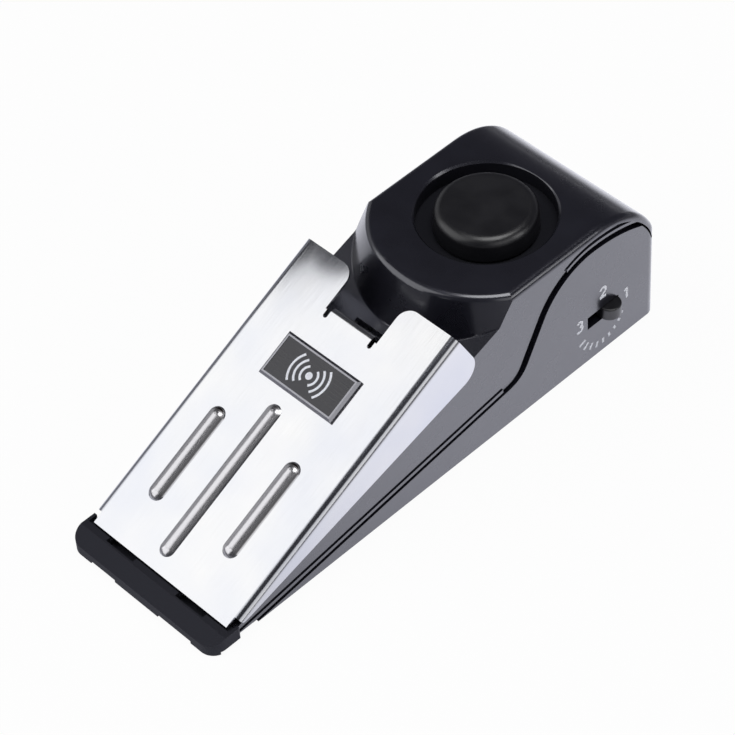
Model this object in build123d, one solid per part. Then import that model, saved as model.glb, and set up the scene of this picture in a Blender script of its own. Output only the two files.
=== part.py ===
"""Wedge-shaped door stop alarm: a case of two shells, a hinged steel strike plate, a siren and its battery.

Sizes are millimetres. While the pieces are made, Y is the station from the toe tip, X is
across the case and Z is the height above the floor. The finished pieces are shifted so that the
origin lies on the floor in the middle of the case's length.
"""
from build123d import *
from math import atan, atan2, cos, degrees, hypot, pi, radians, sin, sqrt, tan
import os

# Driving dimensions of the whole alarm
case_length = 148.0
case_width = 47.2
case_height = 42.0
wall = 2.2
stand_off = 0.5
overrun = 5.0
seat_gap = 0.15
free_gap = 0.3

# Wedge and tower of the case
deck_start = 6.2
deck_start_height = 3.0
deck_end_height = 31.95
shell_front = 8.2
tower_to_rear = 34.6
tower_radius = 27.2
tower_front_lean = 24.0
rear_bow = 1.2
roof_arc_radius = 21.7
roof_rear_height = 27.7
top_edge_round = 1.8
rear_corner_round = 3.0
tower_foot_round = 0.6

# Parting line on the sides, with its recessed band and the lip behind it
strip_start_height = -0.4
strip_end_height = 12.35
strip_to_arch = 24.4
arch_front_angle = 61.0
arch_to_rear = 22.3
arch_height = 17.3
arch_radius = 19.0
arch_rear_radius = 40.6
arch_turn_round = 8.0
gap_on_strip = 0.9
gap_on_arch = 1.6
gap_on_rear = 0.5
roof_edge = 2.2
ridge_on_strip = 1.9
ridge_on_arch = 2.4
ridge_depth = 0.15
strip_ridge_to_arch = 30.7
arch_ridge_to_arch = 8.7
band_depth = 0.65
band_on_strip = 3.2
band_on_arch = 3.7
lip_thickness = 1.2
lip_rise = 3.0
lip_foot = 2.0
lip_front = 32.0

# Nose that the plate is hinged in
nose_top = 5.0
nose_front_height = 3.4
nose_slope_run = 4.2
nose_back = 5.9
nose_ledge = 3.7
nose_end_run = 8.4
nose_end_width = 0.8
nose_round = 4.0
nose_underside = 1.3
nose_relief_run = 13.5
nose_foot_run = 2.6
nose_foot_half = 7.3
nose_outer_foot = 7.6
slot_inner = 7.2
slot_outer = 16.4
slot_front = 4.7
slot_back = 9.6
slot_floor = 2.2

# Strike plate of folded sheet, in its own slope
plate_station = 6.35
plate_height = 5.15
plate_rear_height = 42.86
plate_to_tower = 6.47
plate_side_gap = 0.3
sheet = 0.7
plate_bend = 2.1
flange_front = 3.0
flange_front_depth = 1.5
flange_rear_depth = 16.2
flange_corner = 5.0
notch_half = 8.3
notch_depth = 11.1
horn_round = 3.6
relief_run = 1.4
relief_radius = 0.6
tongue_half = 6.6
tongue_bend = 1.4
tongue_drop = 15.1
tongue_hook = 2.8
hook_slot_room = 1.6
tab_half = 4.0
tab_offset = 11.8
tab_drop = 1.9
tab_bend = 1.4
tab_curl = 0.7
side_rib_width = 4.6
side_rib_height = 1.0
middle_rib_width = 4.2
middle_rib_height = 0.75
rib_pitch = 12.5
rib_shift = -1.4
middle_rib_shift = -2.3
side_rib_shares = (0.149, 0.472)
middle_rib_shares = (0.045, 0.569)
press_angle = 5.0

# Badge on the plate
badge_length = 23.6
badge_width = 11.8
badge_thickness = 1.2
badge_bevel = 0.6
badge_to_notch = 15.0
badge_rim = 1.0
badge_pocket = 0.5
badge_fit = 0.05
badge_proud = 0.1

# Siren: cap in its round recess, with the sounder below
siren_offset = 1.1
recess_radius = 17.0
recess_depth = 4.6
recess_floor = 1.6
recess_wall = 1.4
recess_chamfer = 0.5
cap_radius = 12.7
cap_rise = 2.2
cap_lift = 0.7
cap_wall = 1.5
cap_round = 2.4
cap_draft = 0.35
cap_leg_ring = 10.4
cap_leg_radius = 1.1
cap_head_radius = 1.6
cap_head_height = 0.8
cap_leg_count = 3
leg_fit = 0.15
sound_hole_radius = 7.6
sounder_radius = 15.4
sounder_bore = 12.4
sounder_height = 3.6
diaphragm_radius = 13.5
diaphragm_thickness = 0.3
diaphragm_rebate = 0.8
ceramic_radius = 10.0
ceramic_thickness = 0.25

# Plunger, its spring and the contacts that it closes
plunger_to_front = 12.5
plunger_radius = 3.0
plunger_plate_gap = 0.25
plunger_flange_radius = 5.2
guide_fit = 0.15
plunger_flange = 0.6
guide_radius = 5.6
bridge_thickness = 0.6
bridge_pin_radius = 1.1
bridge_pin_length = 1.2
contact_radius = 0.8
contact_offset = 2.9
contact_height = 2.0
contact_closed_gap = 0.3
spring_wire = 0.4
spring_radius = 4.6
spring_turns = 5
spring_samples = 8

# Circuit board and what is soldered to it
board_to_stop = 4.1
board_length = 43.0
board_half_width = 18.0
board_bottom = 4.6
board_thickness = 1.6
board_corner = 1.5
post_radius = 2.2
post_inset = 3.2
board_screw_radius = 1.0
board_screw_head = 1.9
board_screw_head_height = 1.2
board_screw_length = 3.2
chip_length = 9.3
chip_width = 6.4
chip_height = 3.3
chip_lift = 0.6
chip_offset = 10.5
chip_share = 0.523
pin_width = 0.5
pin_pitch = 2.54
pin_reach = 7.6
pins_a_side = 4
coil_offset = -11.0
coil_share = 0.453
coil_flange_radius = 4.5
coil_core_radius = 2.4
coil_flange = 1.4
coil_height = 10.0
winding_radius = 4.0
winding_gap = 0.1
capacitor_offset = -12.5
capacitor_share = 0.186
capacitor_radius = 2.5
capacitor_height = 6.5
capacitor_groove = 0.3
transistor_offset = 12.0
transistor_share = 0.814
transistor_radius = 2.3
transistor_height = 4.6
transistor_lift = 2.0
transistor_leg = 0.45
transistor_pitch = 1.27
transistor_flat_share = 0.45
sensor_offset = -12.0
sensor_share = 0.791
sensor_radius = 2.6
sensor_height = 10.5
sensor_pin_radius = 0.4
sensor_pin_length = 1.5
resistor_radius = 1.1
resistor_length = 6.2
resistor_lift = 1.5
resistor_lead = 0.3
resistor_lead_run = 1.6
resistor_pitch = 2.9
resistor_offset = 5.7
resistor_share = 0.165
resistor_count = 3

# Battery, snap connector and the door below them
battery_to_rear = 4.4
battery_length = 46.0
battery_width = 26.5
battery_height = 17.5
battery_round = 2.0
battery_rim = 1.2
battery_rim_depth = 0.5
terminal_spacing = 12.7
stud_radius = 2.8
socket_radius = 4.0
socket_wall = 0.6
terminal_height = 2.6
snap_length = 25.0
snap_width = 12.5
snap_thickness = 2.2
snap_round = 2.0
snap_cup_depth = 0.3
door_front_to_rear = 56.0
door_half_width = 13.3
door_thickness = 2.0
door_fit = 0.3
door_tongue = 1.2
door_tongue_thickness = 0.6
door_tongue_height = 1.35
door_grip_count = 6
door_grip_width = 0.9
door_grip_pitch = 2.2
door_grip_depth = 0.5
door_grip_length = 14.0
door_grip_to_rear = 16.0
cradle_offset = 13.75
cradle_thickness = 1.2
cradle_height = 11.0
cradle_to_rear = 12.0
stop_to_door = 3.4
stop_height = 7.5

# Screws that close the case, and their bosses
screw_offset = 17.4
screw_front_to_board = 5.5
screw_rear_to_rear = 6.5
boss_front_height = 6.6
boss_rear_height = 14.0
screw_front_length = 8.0
screw_rear_length = 20.0
boss_radius = 2.4
screw_radius = 1.1
screw_head_radius = 2.1
screw_head_height = 1.5
screw_recess = 0.7
cross_width = 0.6
cross_depth = 0.8

# Grip pads under the case
pad_thickness = 1.2
front_pad_half = 14.4
front_pad_start = 16.0
front_pad_to_board = 4.5
front_pad_round = 2.5
pad_groove_margin = 4.0
pad_groove_pitch = 4.0
pad_groove_width = 1.0
pad_groove_depth = 0.4
rear_pad_inner = 16.8
rear_pad_outer = 21.6
rear_pad_length = 34.0
rear_pad_to_rear = 14.0
pad_fit = 0.1

# Sensitivity switch on the right side
sense_low = 11.4
sense_high = 15.4
sense_slot_length = 10.8
sense_to_rear = 13.3
sense_knob_radius = 2.95
sense_knob_to_end = 3.1
sense_knob_fit = 0.2
sense_knob_edge = 0.4
sense_body_depth = 5.6
sense_body_margin = 0.9
sense_cavity = 2.4

# Power switch on the rear face
power_height = 23.2
power_slot_height = 2.8
power_slot_half = 3.6
power_travel = 3.0
power_knob_width = 3.6
power_knob_proud = 1.4
power_body_depth = 4.6
power_body_margin = 1.0
power_cavity = 2.2
power_ridge_count = 3
power_ridge = 0.35
power_ridge_pitch = 1.1

# Insulated wires inside the case
wire_radius = 0.6
wire_bend_share = 0.45
wire_pitch = 2.4
battery_lead_offset = 2.0
battery_lead_height = 12.4
lead_to_edge = 1.9
sense_lead_to_edge = 7.7
sense_lead_height = 11.4
sounder_lead_offset = 8.5
sounder_lead_height = 26.0
power_lead_offset = 8.5

half_width = case_width / 2
plate_half_width = half_width + plate_side_gap + sheet
nose_half_width = plate_half_width
floor_top = stand_off + wall
board_top = board_bottom + board_thickness
rear_station = case_length + rear_bow
tower_station = case_length - tower_to_rear
tower_front = tower_station - tower_radius
siren_station = tower_station + siren_offset
roof_arc_rise = roof_rear_height - case_height + roof_arc_radius
roof_arc_station = case_length - sqrt(roof_arc_radius ** 2 - roof_arc_rise ** 2)
deck_rise = (deck_end_height - deck_start_height) / (tower_front - deck_start)
arch_station = case_length - arch_to_rear
strip_run = arch_station - strip_to_arch - shell_front
strip_rise = (strip_end_height - strip_start_height) / strip_run
plate_run = tower_front - plate_to_tower - plate_station
plate_rise = plate_rear_height - plate_height
plate_length = hypot(plate_run, plate_rise)
slope = atan2(plate_rise, plate_run)
notch_start = plate_length - notch_depth
relief_station = notch_start - relief_run
badge_station = notch_start - badge_to_notch
door_front = case_length - door_front_to_rear
stop_station = door_front - stop_to_door
board_back = stop_station - board_to_stop
board_front = board_back - board_length
plunger_station = board_front + plunger_to_front
front_pad_end = board_back - front_pad_to_board
rear_pad_end = case_length - rear_pad_to_rear
rear_pad_start = rear_pad_end - rear_pad_length
battery_front = case_length - battery_to_rear - battery_length
sense_end = case_length - sense_to_rear
sense_start = sense_end - sense_slot_length
sense_knob_rest = sense_end - sense_knob_to_end
lead_landing = board_back - lead_to_edge
sense_lead_landing = board_back - sense_lead_to_edge
rear_seam_height = power_height + power_slot_height / 2 + power_body_margin
bow_radius = (half_width ** 2 + rear_bow ** 2) / (2 * rear_bow)


def block(x0, x1, s0, s1, z0, z1):
    """Rectangular block between two sides, two stations and two heights."""
    return Pos((x0 + x1) / 2, (s0 + s1) / 2, (z0 + z1) / 2) * Box(x1 - x0, s1 - s0, z1 - z0)


def rod(x, s, z0, z1, radius):
    """Upright round rod."""
    return Pos(x, s, (z0 + z1) / 2) * Cylinder(radius, z1 - z0)


def both_sides(piece):
    """A piece and its mirror image across the middle of the case."""
    return piece + mirror(piece, about=Plane.YZ)


def across(outline, reach=nose_half_width + overrun):
    """Side outline in station and height, carried across the case."""
    return extrude(Plane.YZ * outline, amount=reach, both=True)


def area(s0, s1, z0, z1):
    """Rectangle in station and height."""
    return Pos((s0 + s1) / 2, (z0 + z1) / 2) * Rectangle(s1 - s0, z1 - z0)


def deck_height(station, inset=0):
    """Height of the wedge's deck, or of its underside when it is drawn in by a wall."""
    return deck_start_height + (station - deck_start) * deck_rise - inset / cos(atan(deck_rise))


def wedge_form(inset):
    """Long wedge under the strike plate."""
    low = stand_off + inset
    meet = deck_start + (low + seat_gap - deck_height(deck_start, inset)) / deck_rise
    front = max(shell_front + inset, meet)
    outline = Polygon(
        (front, low),
        (rear_station + overrun, low),
        (rear_station + overrun, deck_height(tower_station, inset)),
        (tower_station, deck_height(tower_station, inset)),
        (front, deck_height(front, inset)),
        align=None,
    )
    return across(outline, half_width - inset)


def tower_form(inset):
    """Siren tower: straight sides, a round front that leans back to the top, and a flat top."""
    low = stand_off + inset
    high = case_height - inset
    lean = radians(tower_front_lean)
    top_radius = tower_radius + inset * tan(lean) - inset / cos(lean)
    foot_radius = top_radius + (high - low) * tan(lean)
    front = Cone(foot_radius, top_radius, high - low, align=(Align.CENTER, Align.CENTER, Align.MIN))
    rear = Pos(0, tower_station + case_length / 2) * Rectangle(2 * tower_radius, case_length)
    sides = Pos(0, tower_station) * Rectangle(2 * (half_width - inset), 2 * case_length)
    form = Pos(0, tower_station, low) * front + extrude(Pos(0, 0, low) * rear, amount=high - low)
    return form & extrude(Pos(0, 0, low) * sides, amount=high - low)


def roof_area(inset):
    """Side view of everything below the flat top and its rear curve."""
    arc_height = case_height - roof_arc_radius
    outline = area(-overrun, roof_arc_station, -overrun, case_height - inset)
    outline += Pos(roof_arc_station, arc_height) * Circle(roof_arc_radius - inset)
    outline += area(roof_arc_station, rear_station + overrun, -overrun, arc_height)
    return outline


def case_form(inset=0):
    """Closed form of the whole case, or the same form drawn in by a wall."""
    form = wedge_form(inset) + tower_form(inset)
    form &= across(roof_area(inset))
    form &= rod(0, rear_station - bow_radius, -overrun, case_height + overrun, bow_radius - inset)
    return form


def rounded_case_form():
    """Case form with its outer edges rounded."""
    form = case_form()
    upright = form.edges().filter_by(Axis.Z)
    corners = upright.filter_by_position(Axis.Y, case_length - overrun, case_length + overrun)
    form = fillet(corners, rear_corner_round)
    top_plane = form.faces().sort_by(Axis.Z)[-1]
    rim = [edge for edge in top_plane.edges() if edge.center().Y < roof_arc_station - overrun / 10]
    rear = [
        edge for edge in form.edges()
        if edge.center().Y > roof_arc_station
        and edge.center().Z > case_height / 2
        and edge.geom_type == GeomType.CIRCLE
        and abs(edge.center().X) > half_width - seat_gap
    ]
    form = fillet(rim + rear, top_edge_round)
    foot = [
        edge for edge in form.edges()
        if edge.geom_type != GeomType.LINE
        and edge.center().Z < case_height - overrun
        and edge.center().Y < tower_station - tower_radius / 2
    ]
    return fillet(foot, tower_foot_round)


def strip_height(station):
    """Height of the parting line along the wedge."""
    return strip_start_height + (station - shell_front) * strip_rise


def parting_area(over_strip=0, over_arch=0, over_rear=0):
    """Side view of everything below the parting line, or below a line that runs over it."""
    far = rear_station + overrun
    radius = arch_radius + over_arch
    lean = radians(arch_front_angle)
    touch = (arch_station - radius * sin(lean), arch_height + radius * cos(lean))
    low = strip_height(0) + over_strip
    meet = (touch[1] - tan(lean) * touch[0] - low) / (strip_rise - tan(lean))
    corner = (meet, strip_height(meet) + over_strip)
    outline = Polygon(
        (-overrun, -overrun),
        (far, -overrun),
        (far, arch_height),
        (arch_station, arch_height),
        touch,
        corner,
        (-overrun, strip_height(-overrun) + over_strip),
        align=None,
    )
    outline += Pos(arch_station, arch_height) * Circle(radius)
    rear = Circle(arch_rear_radius + over_arch)
    rear = Pos(arch_station, arch_height + arch_radius - arch_rear_radius) * rear
    outline += rear & area(arch_station, far, -overrun, case_height)
    turn = outline.vertices().sort_by_distance(corner)[0]
    outline = fillet(turn, arch_turn_round - over_arch) & roof_area(roof_edge - over_rear)
    return outline + area(arch_station, far, -overrun, rear_seam_height + over_rear)


def plate_point(run, depth=0):
    """Station and height of a point in the strike plate's own slope."""
    station = plate_station + run * cos(slope) + depth * sin(slope)
    height = plate_height + run * sin(slope) - depth * cos(slope)
    return (station, height)


def on_plate(piece):
    """Carry a piece from the strike plate's own slope, where Y runs up it and Z out of it."""
    return Pos(0, plate_station, plate_height) * Rot(degrees(slope), 0, 0) * piece


def folded_sheet():
    """Flat top with a flange folded down on each side."""
    outer = Pos(0, -case_height / 2) * Rectangle(2 * plate_half_width, case_height)
    outer = fillet(outer.vertices().group_by(Axis.Y)[-1], plate_bend)
    inside = plate_half_width - sheet
    inner = Pos(0, -sheet - case_height / 2) * Rectangle(2 * inside, case_height)
    inner = fillet(inner.vertices().group_by(Axis.Y)[-1], plate_bend - sheet)
    folded = extrude(Plane.XZ * (outer - inner), amount=-plate_length)
    side = Polygon(
        (flange_front, overrun),
        (flange_front, -flange_front_depth),
        (plate_length, -flange_rear_depth),
        (plate_length, overrun),
        align=None,
    )
    side = fillet(side.vertices().sort_by_distance((plate_length, -flange_rear_depth))[0], flange_corner)
    side = fillet(side.vertices().sort_by_distance((flange_front, -flange_front_depth))[0], sheet)
    front = plate_half_width - plate_bend
    return (folded & across(side)) + block(-front, front, 0, flange_front, -sheet, 0)


def bead(x, start, end, width, height, inset):
    """Long bead with a round back and round ends, or the same form drawn in by the sheet."""
    radius = (width ** 2 / 4 + height ** 2) / (2 * height)
    first, last = start + width / 2, end - width / 2
    axis = Pos(x, (first + last) / 2, height - radius) * Rot(90, 0, 0)
    form = axis * Cylinder(radius - inset, last - first)
    for station in (first, last):
        form += Pos(x, station, height - radius) * Sphere(radius - inset)
    return form & block(x - width, x + width, start - width, end + width, -sheet, height + overrun)


def bead_places():
    """Place across, start, end, width and height of each bead on the plate."""
    start, end = (plate_length * share for share in side_rib_shares)
    sides = [
        (rib_shift + side * rib_pitch, start, end, side_rib_width, side_rib_height) for side in (-1, 1)
    ]
    start, end = (plate_length * share for share in middle_rib_shares)
    return sides + [(middle_rib_shift, start, end, middle_rib_width, middle_rib_height)]


def bent_strip(points, bend, half):
    """Strip of the plate's sheet, bent along a line in its own slope."""
    line = FilletPolyline(*points, radius=bend - sheet / 2)
    return across(trace(line, sheet), half)


def tongue():
    """Tongue that is bent down from the notch and ends in a hook below the deck."""
    run = notch_start + tongue_bend - sheet / 2
    low = sheet / 2 - tongue_drop
    points = ((relief_station, -sheet / 2), (run, -sheet / 2), (run, low), (run + tongue_hook, low))
    return bent_strip(points, tongue_bend, tongue_half)


def hinge_tab():
    """Tab at the front edge whose rolled end turns in a slot of the nose."""
    run = sheet / 2
    points = ((flange_front, -sheet / 2), (run, -sheet / 2), (run, -tab_drop))
    curl = Pos(0, run, -tab_drop) * Rot(0, 90, 0) * Cylinder(tab_curl, 2 * tab_half)
    return Pos(tab_offset, 0, 0) * (bent_strip(points, tab_bend, tab_half) + curl)


def strike_plate():
    """Folded plate with its notch, tongue, tabs and beads."""
    plate = folded_sheet()
    plate -= block(-notch_half, notch_half, notch_start, plate_length + overrun, -tongue_drop, overrun)
    horns = [
        edge for edge in plate.edges().filter_by(Axis.Z)
        if abs(abs(edge.center().X) - notch_half) < free_gap and edge.center().Y > plate_length - free_gap
    ]
    plate = fillet(horns, horn_round)
    relief_offset = tongue_half + relief_radius
    relief = Pos(relief_offset, relief_station, 0) * Cylinder(relief_radius, overrun)
    relief += block(
        relief_offset - relief_radius, relief_offset + relief_radius, relief_station, notch_start + overrun,
        -sheet - overrun, overrun,
    ) & block(0, notch_half, 0, notch_start, -sheet - overrun, overrun)
    plate -= both_sides(relief)
    plate += tongue()
    front = block(0, tab_offset + tab_half, -overrun, 0, -overrun, overrun)
    plate += both_sides(hinge_tab() - front)
    for place in bead_places():
        plate += bead(*place, 0)
        plate -= bead(*place, sheet)
    return on_plate(plate)


def badge_block(length, width, low, high):
    """Block at the badge's place on the plate."""
    return Pos(0, badge_station, (low + high) / 2) * Box(length, width, high - low)


def badge_frame():
    """Bevelled frame of the badge."""
    frame = badge_block(badge_length, badge_width, 0, badge_thickness)
    frame = chamfer(frame.faces().sort_by(Axis.Z)[-1].edges(), badge_bevel)
    length = badge_length - 2 * badge_rim
    width = badge_width - 2 * badge_rim
    pocket = badge_block(length, width, badge_thickness - badge_pocket, badge_thickness + overrun)
    return on_plate(frame - pocket)


def badge_face():
    """Face that lies in the frame's pocket."""
    length = badge_length - 2 * badge_rim - 2 * badge_fit
    width = badge_width - 2 * badge_rim - 2 * badge_fit
    face = badge_block(length, width, badge_thickness - badge_pocket, badge_thickness - badge_proud)
    return on_plate(face)


def nose():
    """Front end of the lower case, with feet below and slots for the plate's tabs."""
    back = shell_front - seat_gap
    profile = Polygon(
        (0, nose_underside),
        (back, nose_underside),
        (back, nose_ledge),
        (nose_back, nose_ledge),
        (nose_back, nose_top),
        (nose_slope_run, nose_top),
        (0, nose_front_height),
        align=None,
    )
    body = across(profile, nose_half_width)
    front = Polygon(
        (0, 0),
        (nose_end_run, 0),
        (nose_end_run, nose_top),
        (nose_slope_run, nose_top),
        (0, nose_front_height),
        align=None,
    )
    end = block(
        nose_half_width - nose_end_width, nose_half_width, 0, nose_end_run, nose_underside, nose_top
    ) & across(front)
    body += both_sides(end)
    inside = half_width - wall - seat_gap
    body += block(-inside, inside, nose_back, lip_front, nose_underside, floor_top)
    left = rib_shift - nose_foot_half
    right = rib_shift + nose_foot_half
    feet = block(left, right, 0, nose_foot_run, stand_off, nose_front_height)
    outer = nose_half_width - nose_outer_foot
    feet += both_sides(block(outer, nose_half_width, 0, nose_foot_run, stand_off, nose_front_height))
    body += feet & across(front)
    plan = Pos(0, lip_front) * Rectangle(2 * nose_half_width, 2 * lip_front)
    plan = fillet(plan.vertices().group_by(Axis.Y)[0], nose_round)
    return body & extrude(plan, amount=case_height)


def tab_slots():
    """Slots that the plate's hinge tabs stand in."""
    return both_sides(block(slot_inner, slot_outer, slot_front, slot_back, slot_floor, nose_top + overrun))


def underside_relief():
    """Space below the front of the case, behind the nose's feet."""
    return block(
        -case_width, case_width, -overrun, nose_relief_run, -overrun, nose_underside
    )


def lower_shell(form):
    """Floor, side panels and rear wall, with the lip that closes the parting gap from inside."""
    below = across(parting_area())
    shell = ((form - case_form(wall)) & below) - underside_relief()
    lip_back = case_form(wall + seat_gap + lip_thickness)
    lip = (case_form(wall + seat_gap) - lip_back) & across(parting_area(lip_rise, lip_rise, lip_rise))
    lip += (case_form(wall - seat_gap) - lip_back) & below
    lip -= across(parting_area(-lip_foot, -lip_foot, -lip_foot))
    inside = half_width - wall - seat_gap - lip_thickness
    zone = both_sides(block(inside, half_width, lip_front, rear_station, 0, case_height))
    back = battery_front + battery_length
    top = rear_seam_height + lip_rise
    beside_switch = power_slot_half + power_body_margin + free_gap
    zone += both_sides(block(beside_switch, door_half_width, back, rear_station, 0, top))
    return shell + (lip & zone)


def screw_places():
    """Place across, station, boss top and length of each case screw."""
    front = (board_front - screw_front_to_board, boss_front_height, screw_front_length)
    rear = (case_length - screw_rear_to_rear, boss_rear_height, screw_rear_length)
    return [(side * screw_offset, *row) for row in (front, rear) for side in (-1, 1)]


def board_screw_places():
    """Place across and station of each board screw."""
    return [
        (side * (board_half_width - post_inset), station)
        for side in (-1, 1)
        for station in (board_front + post_inset, board_back - post_inset)
    ]


def door_space():
    """Opening in the floor for the battery door, with a groove along each side."""
    half = door_half_width + door_fit
    far = rear_station + overrun
    space = block(-half, half, door_front, far, -overrun, floor_top + seat_gap)
    low = door_tongue_height - seat_gap
    high = door_tongue_height + door_tongue_thickness + seat_gap
    return space + block(-half - door_tongue, half + door_tongue, door_front, far, low, high)


def front_pad_plan(grow=0):
    """Outline of the front grip pad."""
    length = front_pad_end - front_pad_start
    middle = (front_pad_start + front_pad_end) / 2
    width = 2 * (front_pad_half + grow)
    return Pos(0, middle) * RectangleRounded(width, length + 2 * grow, front_pad_round + grow)


def rear_pad_plan(grow=0):
    """Outline of the rear grip strip on the right."""
    length = rear_pad_end - rear_pad_start
    middle = (rear_pad_start + rear_pad_end) / 2
    width = rear_pad_outer - rear_pad_inner
    plan = RectangleRounded(width + 2 * grow, length + 2 * grow, width / 4 + grow)
    return Pos((rear_pad_inner + rear_pad_outer) / 2, middle) * plan


def pad_recesses():
    """Shallow recesses in the floor that the grip pads are glued into."""
    front = extrude(front_pad_plan(pad_fit), amount=pad_thickness)
    return front + both_sides(extrude(rear_pad_plan(pad_fit), amount=pad_thickness))


def sense_slot():
    """Slot in the right side for the sensitivity knob."""
    inside = half_width - wall - overrun
    return block(inside, half_width + overrun, sense_start, sense_end, sense_low, sense_high)


def power_slot():
    """Slot in the rear wall for the power knob."""
    half = power_slot_height / 2
    front = case_length - wall - overrun
    return block(
        -power_slot_half, power_slot_half, front, rear_station + overrun,
        power_height - half, power_height + half
    )


def lower_fittings():
    """Board posts, screw bosses, battery cradle and connector stop on the floor."""
    fittings = both_sides(
        block(
            cradle_offset, cradle_offset + cradle_thickness, door_front, case_length - cradle_to_rear,
            floor_top - seat_gap, floor_top + cradle_height,
        )
    )
    fittings += block(
        -cradle_offset, cradle_offset, stop_station, stop_station + cradle_thickness,
        floor_top - seat_gap, floor_top + stop_height,
    )
    for x, station in board_screw_places():
        fittings += rod(x, station, floor_top - seat_gap, board_bottom - seat_gap, post_radius)
    for x, station, top, length in screw_places():
        fittings += rod(x, station, floor_top - seat_gap, top, boss_radius)
    return fittings


def lower_case(form):
    """Lower shell of the case with its nose."""
    case = lower_shell(form) + nose() + lower_fittings()
    for space in (tab_slots(), door_space(), pad_recesses(), sense_slot(), power_slot()):
        case -= space
    head_seat = stand_off + screw_recess + screw_head_height
    for x, station, top, length in screw_places():
        case -= rod(x, station, -overrun, head_seat + seat_gap, screw_head_radius + seat_gap)
        case -= rod(x, station, 0, top + overrun, screw_radius + seat_gap)
    for x, station in board_screw_places():
        low = board_top - board_screw_length - free_gap
        case -= rod(x, station, low, board_bottom + overrun, board_screw_radius)
    return case


def siren_recess():
    """Cup below the roof that the siren cap stands in."""
    floor = case_height - recess_depth
    return rod(0, siren_station, floor - recess_floor, case_height - wall / 2, recess_radius + recess_wall)


def cap_leg_places():
    """Place across and station of each leg of the siren cap."""
    turns = [radians(360 * count / cap_leg_count) for count in range(cap_leg_count)]
    return [(cap_leg_ring * sin(turn), siren_station + cap_leg_ring * cos(turn)) for turn in turns]


def guide_bottom():
    """Height of the guide tube's lower end, where the plunger's flange rests."""
    return plunger_foot() + bridge_thickness + plunger_flange + seat_gap


def plunger_foot():
    """Height of the contact bridge's underside when the plate is up."""
    return board_top + contact_height + contact_closed_gap + plunger_travel()


def crown_height(pressed):
    """Height of the centre of the plunger's round top below the plate, pressed by an angle."""
    hinge_station, hinge_height = plate_point(sheet / 2, tab_drop)
    lean = slope - pressed
    clear = tab_drop - sheet - plunger_radius - plunger_plate_gap
    return hinge_height + (plunger_station - hinge_station) * tan(lean) + clear / cos(lean)


def plunger_travel():
    """Travel of the plunger while the plate is pressed down."""
    return crown_height(0) - crown_height(radians(press_angle))


def upper_fittings():
    """Plunger guide and screw bosses below the deck and the roof."""
    fittings = rod(0, plunger_station, guide_bottom(), case_height, guide_radius)
    for x, station, top, length in screw_places():
        fittings += rod(x, station, top + seat_gap, case_height, boss_radius)
    return fittings & case_form(wall / 2)


def hook_slot():
    """Slot in the deck for the plate's hooked tongue, with room for its swing."""
    run = notch_start + tongue_bend
    level = (run - sheet, 0)
    station = plate_point(*level)[0]
    depth = tongue_drop - tongue_hook
    back = plate_point(run, depth)[0]
    half = tongue_half + 2 * free_gap
    slot = block(
        -half, half, station + wall, back + hook_slot_room, floor_top, case_height + overrun
    )
    return slot


def parting_band():
    """Recess on both sides, above the gap between the two shells."""
    band = block(half_width - band_depth, case_width, 0, rear_station + overrun, 0, case_height)
    return both_sides(band) & across(parting_area(band_on_strip, band_on_arch, gap_on_rear))


def parting_ridge(form):
    """Thin ridge that stands in the band along the straight strip and over the arch."""
    ridge = (form & case_form(ridge_depth)) - case_form(wall)
    ridge &= across(parting_area(ridge_on_strip, ridge_on_arch, gap_on_rear))
    strip_end = arch_station - strip_ridge_to_arch
    arch_start = arch_station - arch_ridge_to_arch
    zone = block(-case_width, case_width, shell_front, strip_end, 0, case_height)
    return ridge & (zone + block(-case_width, case_width, arch_start, rear_station, 0, case_height))


def upper_case(form):
    """Upper shell of the case: deck, siren tower and recess."""
    shell = form - case_form(wall)
    shell -= parting_band()
    shell += parting_ridge(form)
    shell -= across(parting_area(gap_on_strip, gap_on_arch, gap_on_rear))
    shell += siren_recess() & case_form(seat_gap)
    shell += upper_fittings()
    floor = case_height - recess_depth
    shell -= rod(0, siren_station, floor, case_height + overrun, recess_radius)
    rim = Cone(recess_radius, recess_radius + 2 * recess_chamfer, 2 * recess_chamfer)
    shell -= Pos(0, siren_station, case_height) * rim
    shell -= rod(0, siren_station, case_height / 2, floor + overrun, sound_hole_radius)
    for x, station in cap_leg_places():
        shell -= rod(x, station, case_height / 2, floor + overrun, cap_leg_radius + leg_fit)
    inside = half_width - wall
    shell -= block(-inside, inside, 0, lip_front, 0, floor_top + seat_gap)
    for space in (underside_relief(), tab_slots(), hook_slot()):
        shell -= space
    shell -= rod(0, plunger_station, board_top, case_height + overrun, plunger_radius + guide_fit)
    for x, station, top, length in screw_places():
        head_seat = stand_off + screw_recess + screw_head_height
        shell -= rod(x, station, 0, head_seat + length + free_gap, screw_radius)
    return shell


def siren_cap():
    """Round cap of the siren, hollow, on three legs that snap through the recess floor."""
    low = case_height - recess_depth + cap_lift
    high = case_height + cap_rise
    cap = Pos(0, siren_station, (low + high) / 2) * Cone(cap_radius, cap_radius - cap_draft, high - low)
    cap = fillet(cap.edges().sort_by(Axis.Z)[-1], cap_round)
    cap -= rod(0, siren_station, low - overrun, high - cap_wall, cap_radius - cap_wall)
    floor = case_height - recess_depth - recess_floor - seat_gap
    for x, station in cap_leg_places():
        cap += rod(x, station, floor, high - cap_wall + seat_gap, cap_leg_radius)
        head = Pos(x, station, floor - cap_head_height / 2)
        cap += head * Cone(cap_leg_radius, cap_head_radius, cap_head_height)
    return cap


def sounder_top():
    """Height of the sounder ring's top, glued below the recess floor."""
    return case_height - recess_depth - recess_floor - seat_gap


def diaphragm_top():
    """Height of the sounder disc's top, in the ring's rebate."""
    return sounder_top() - sounder_height + diaphragm_rebate


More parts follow.
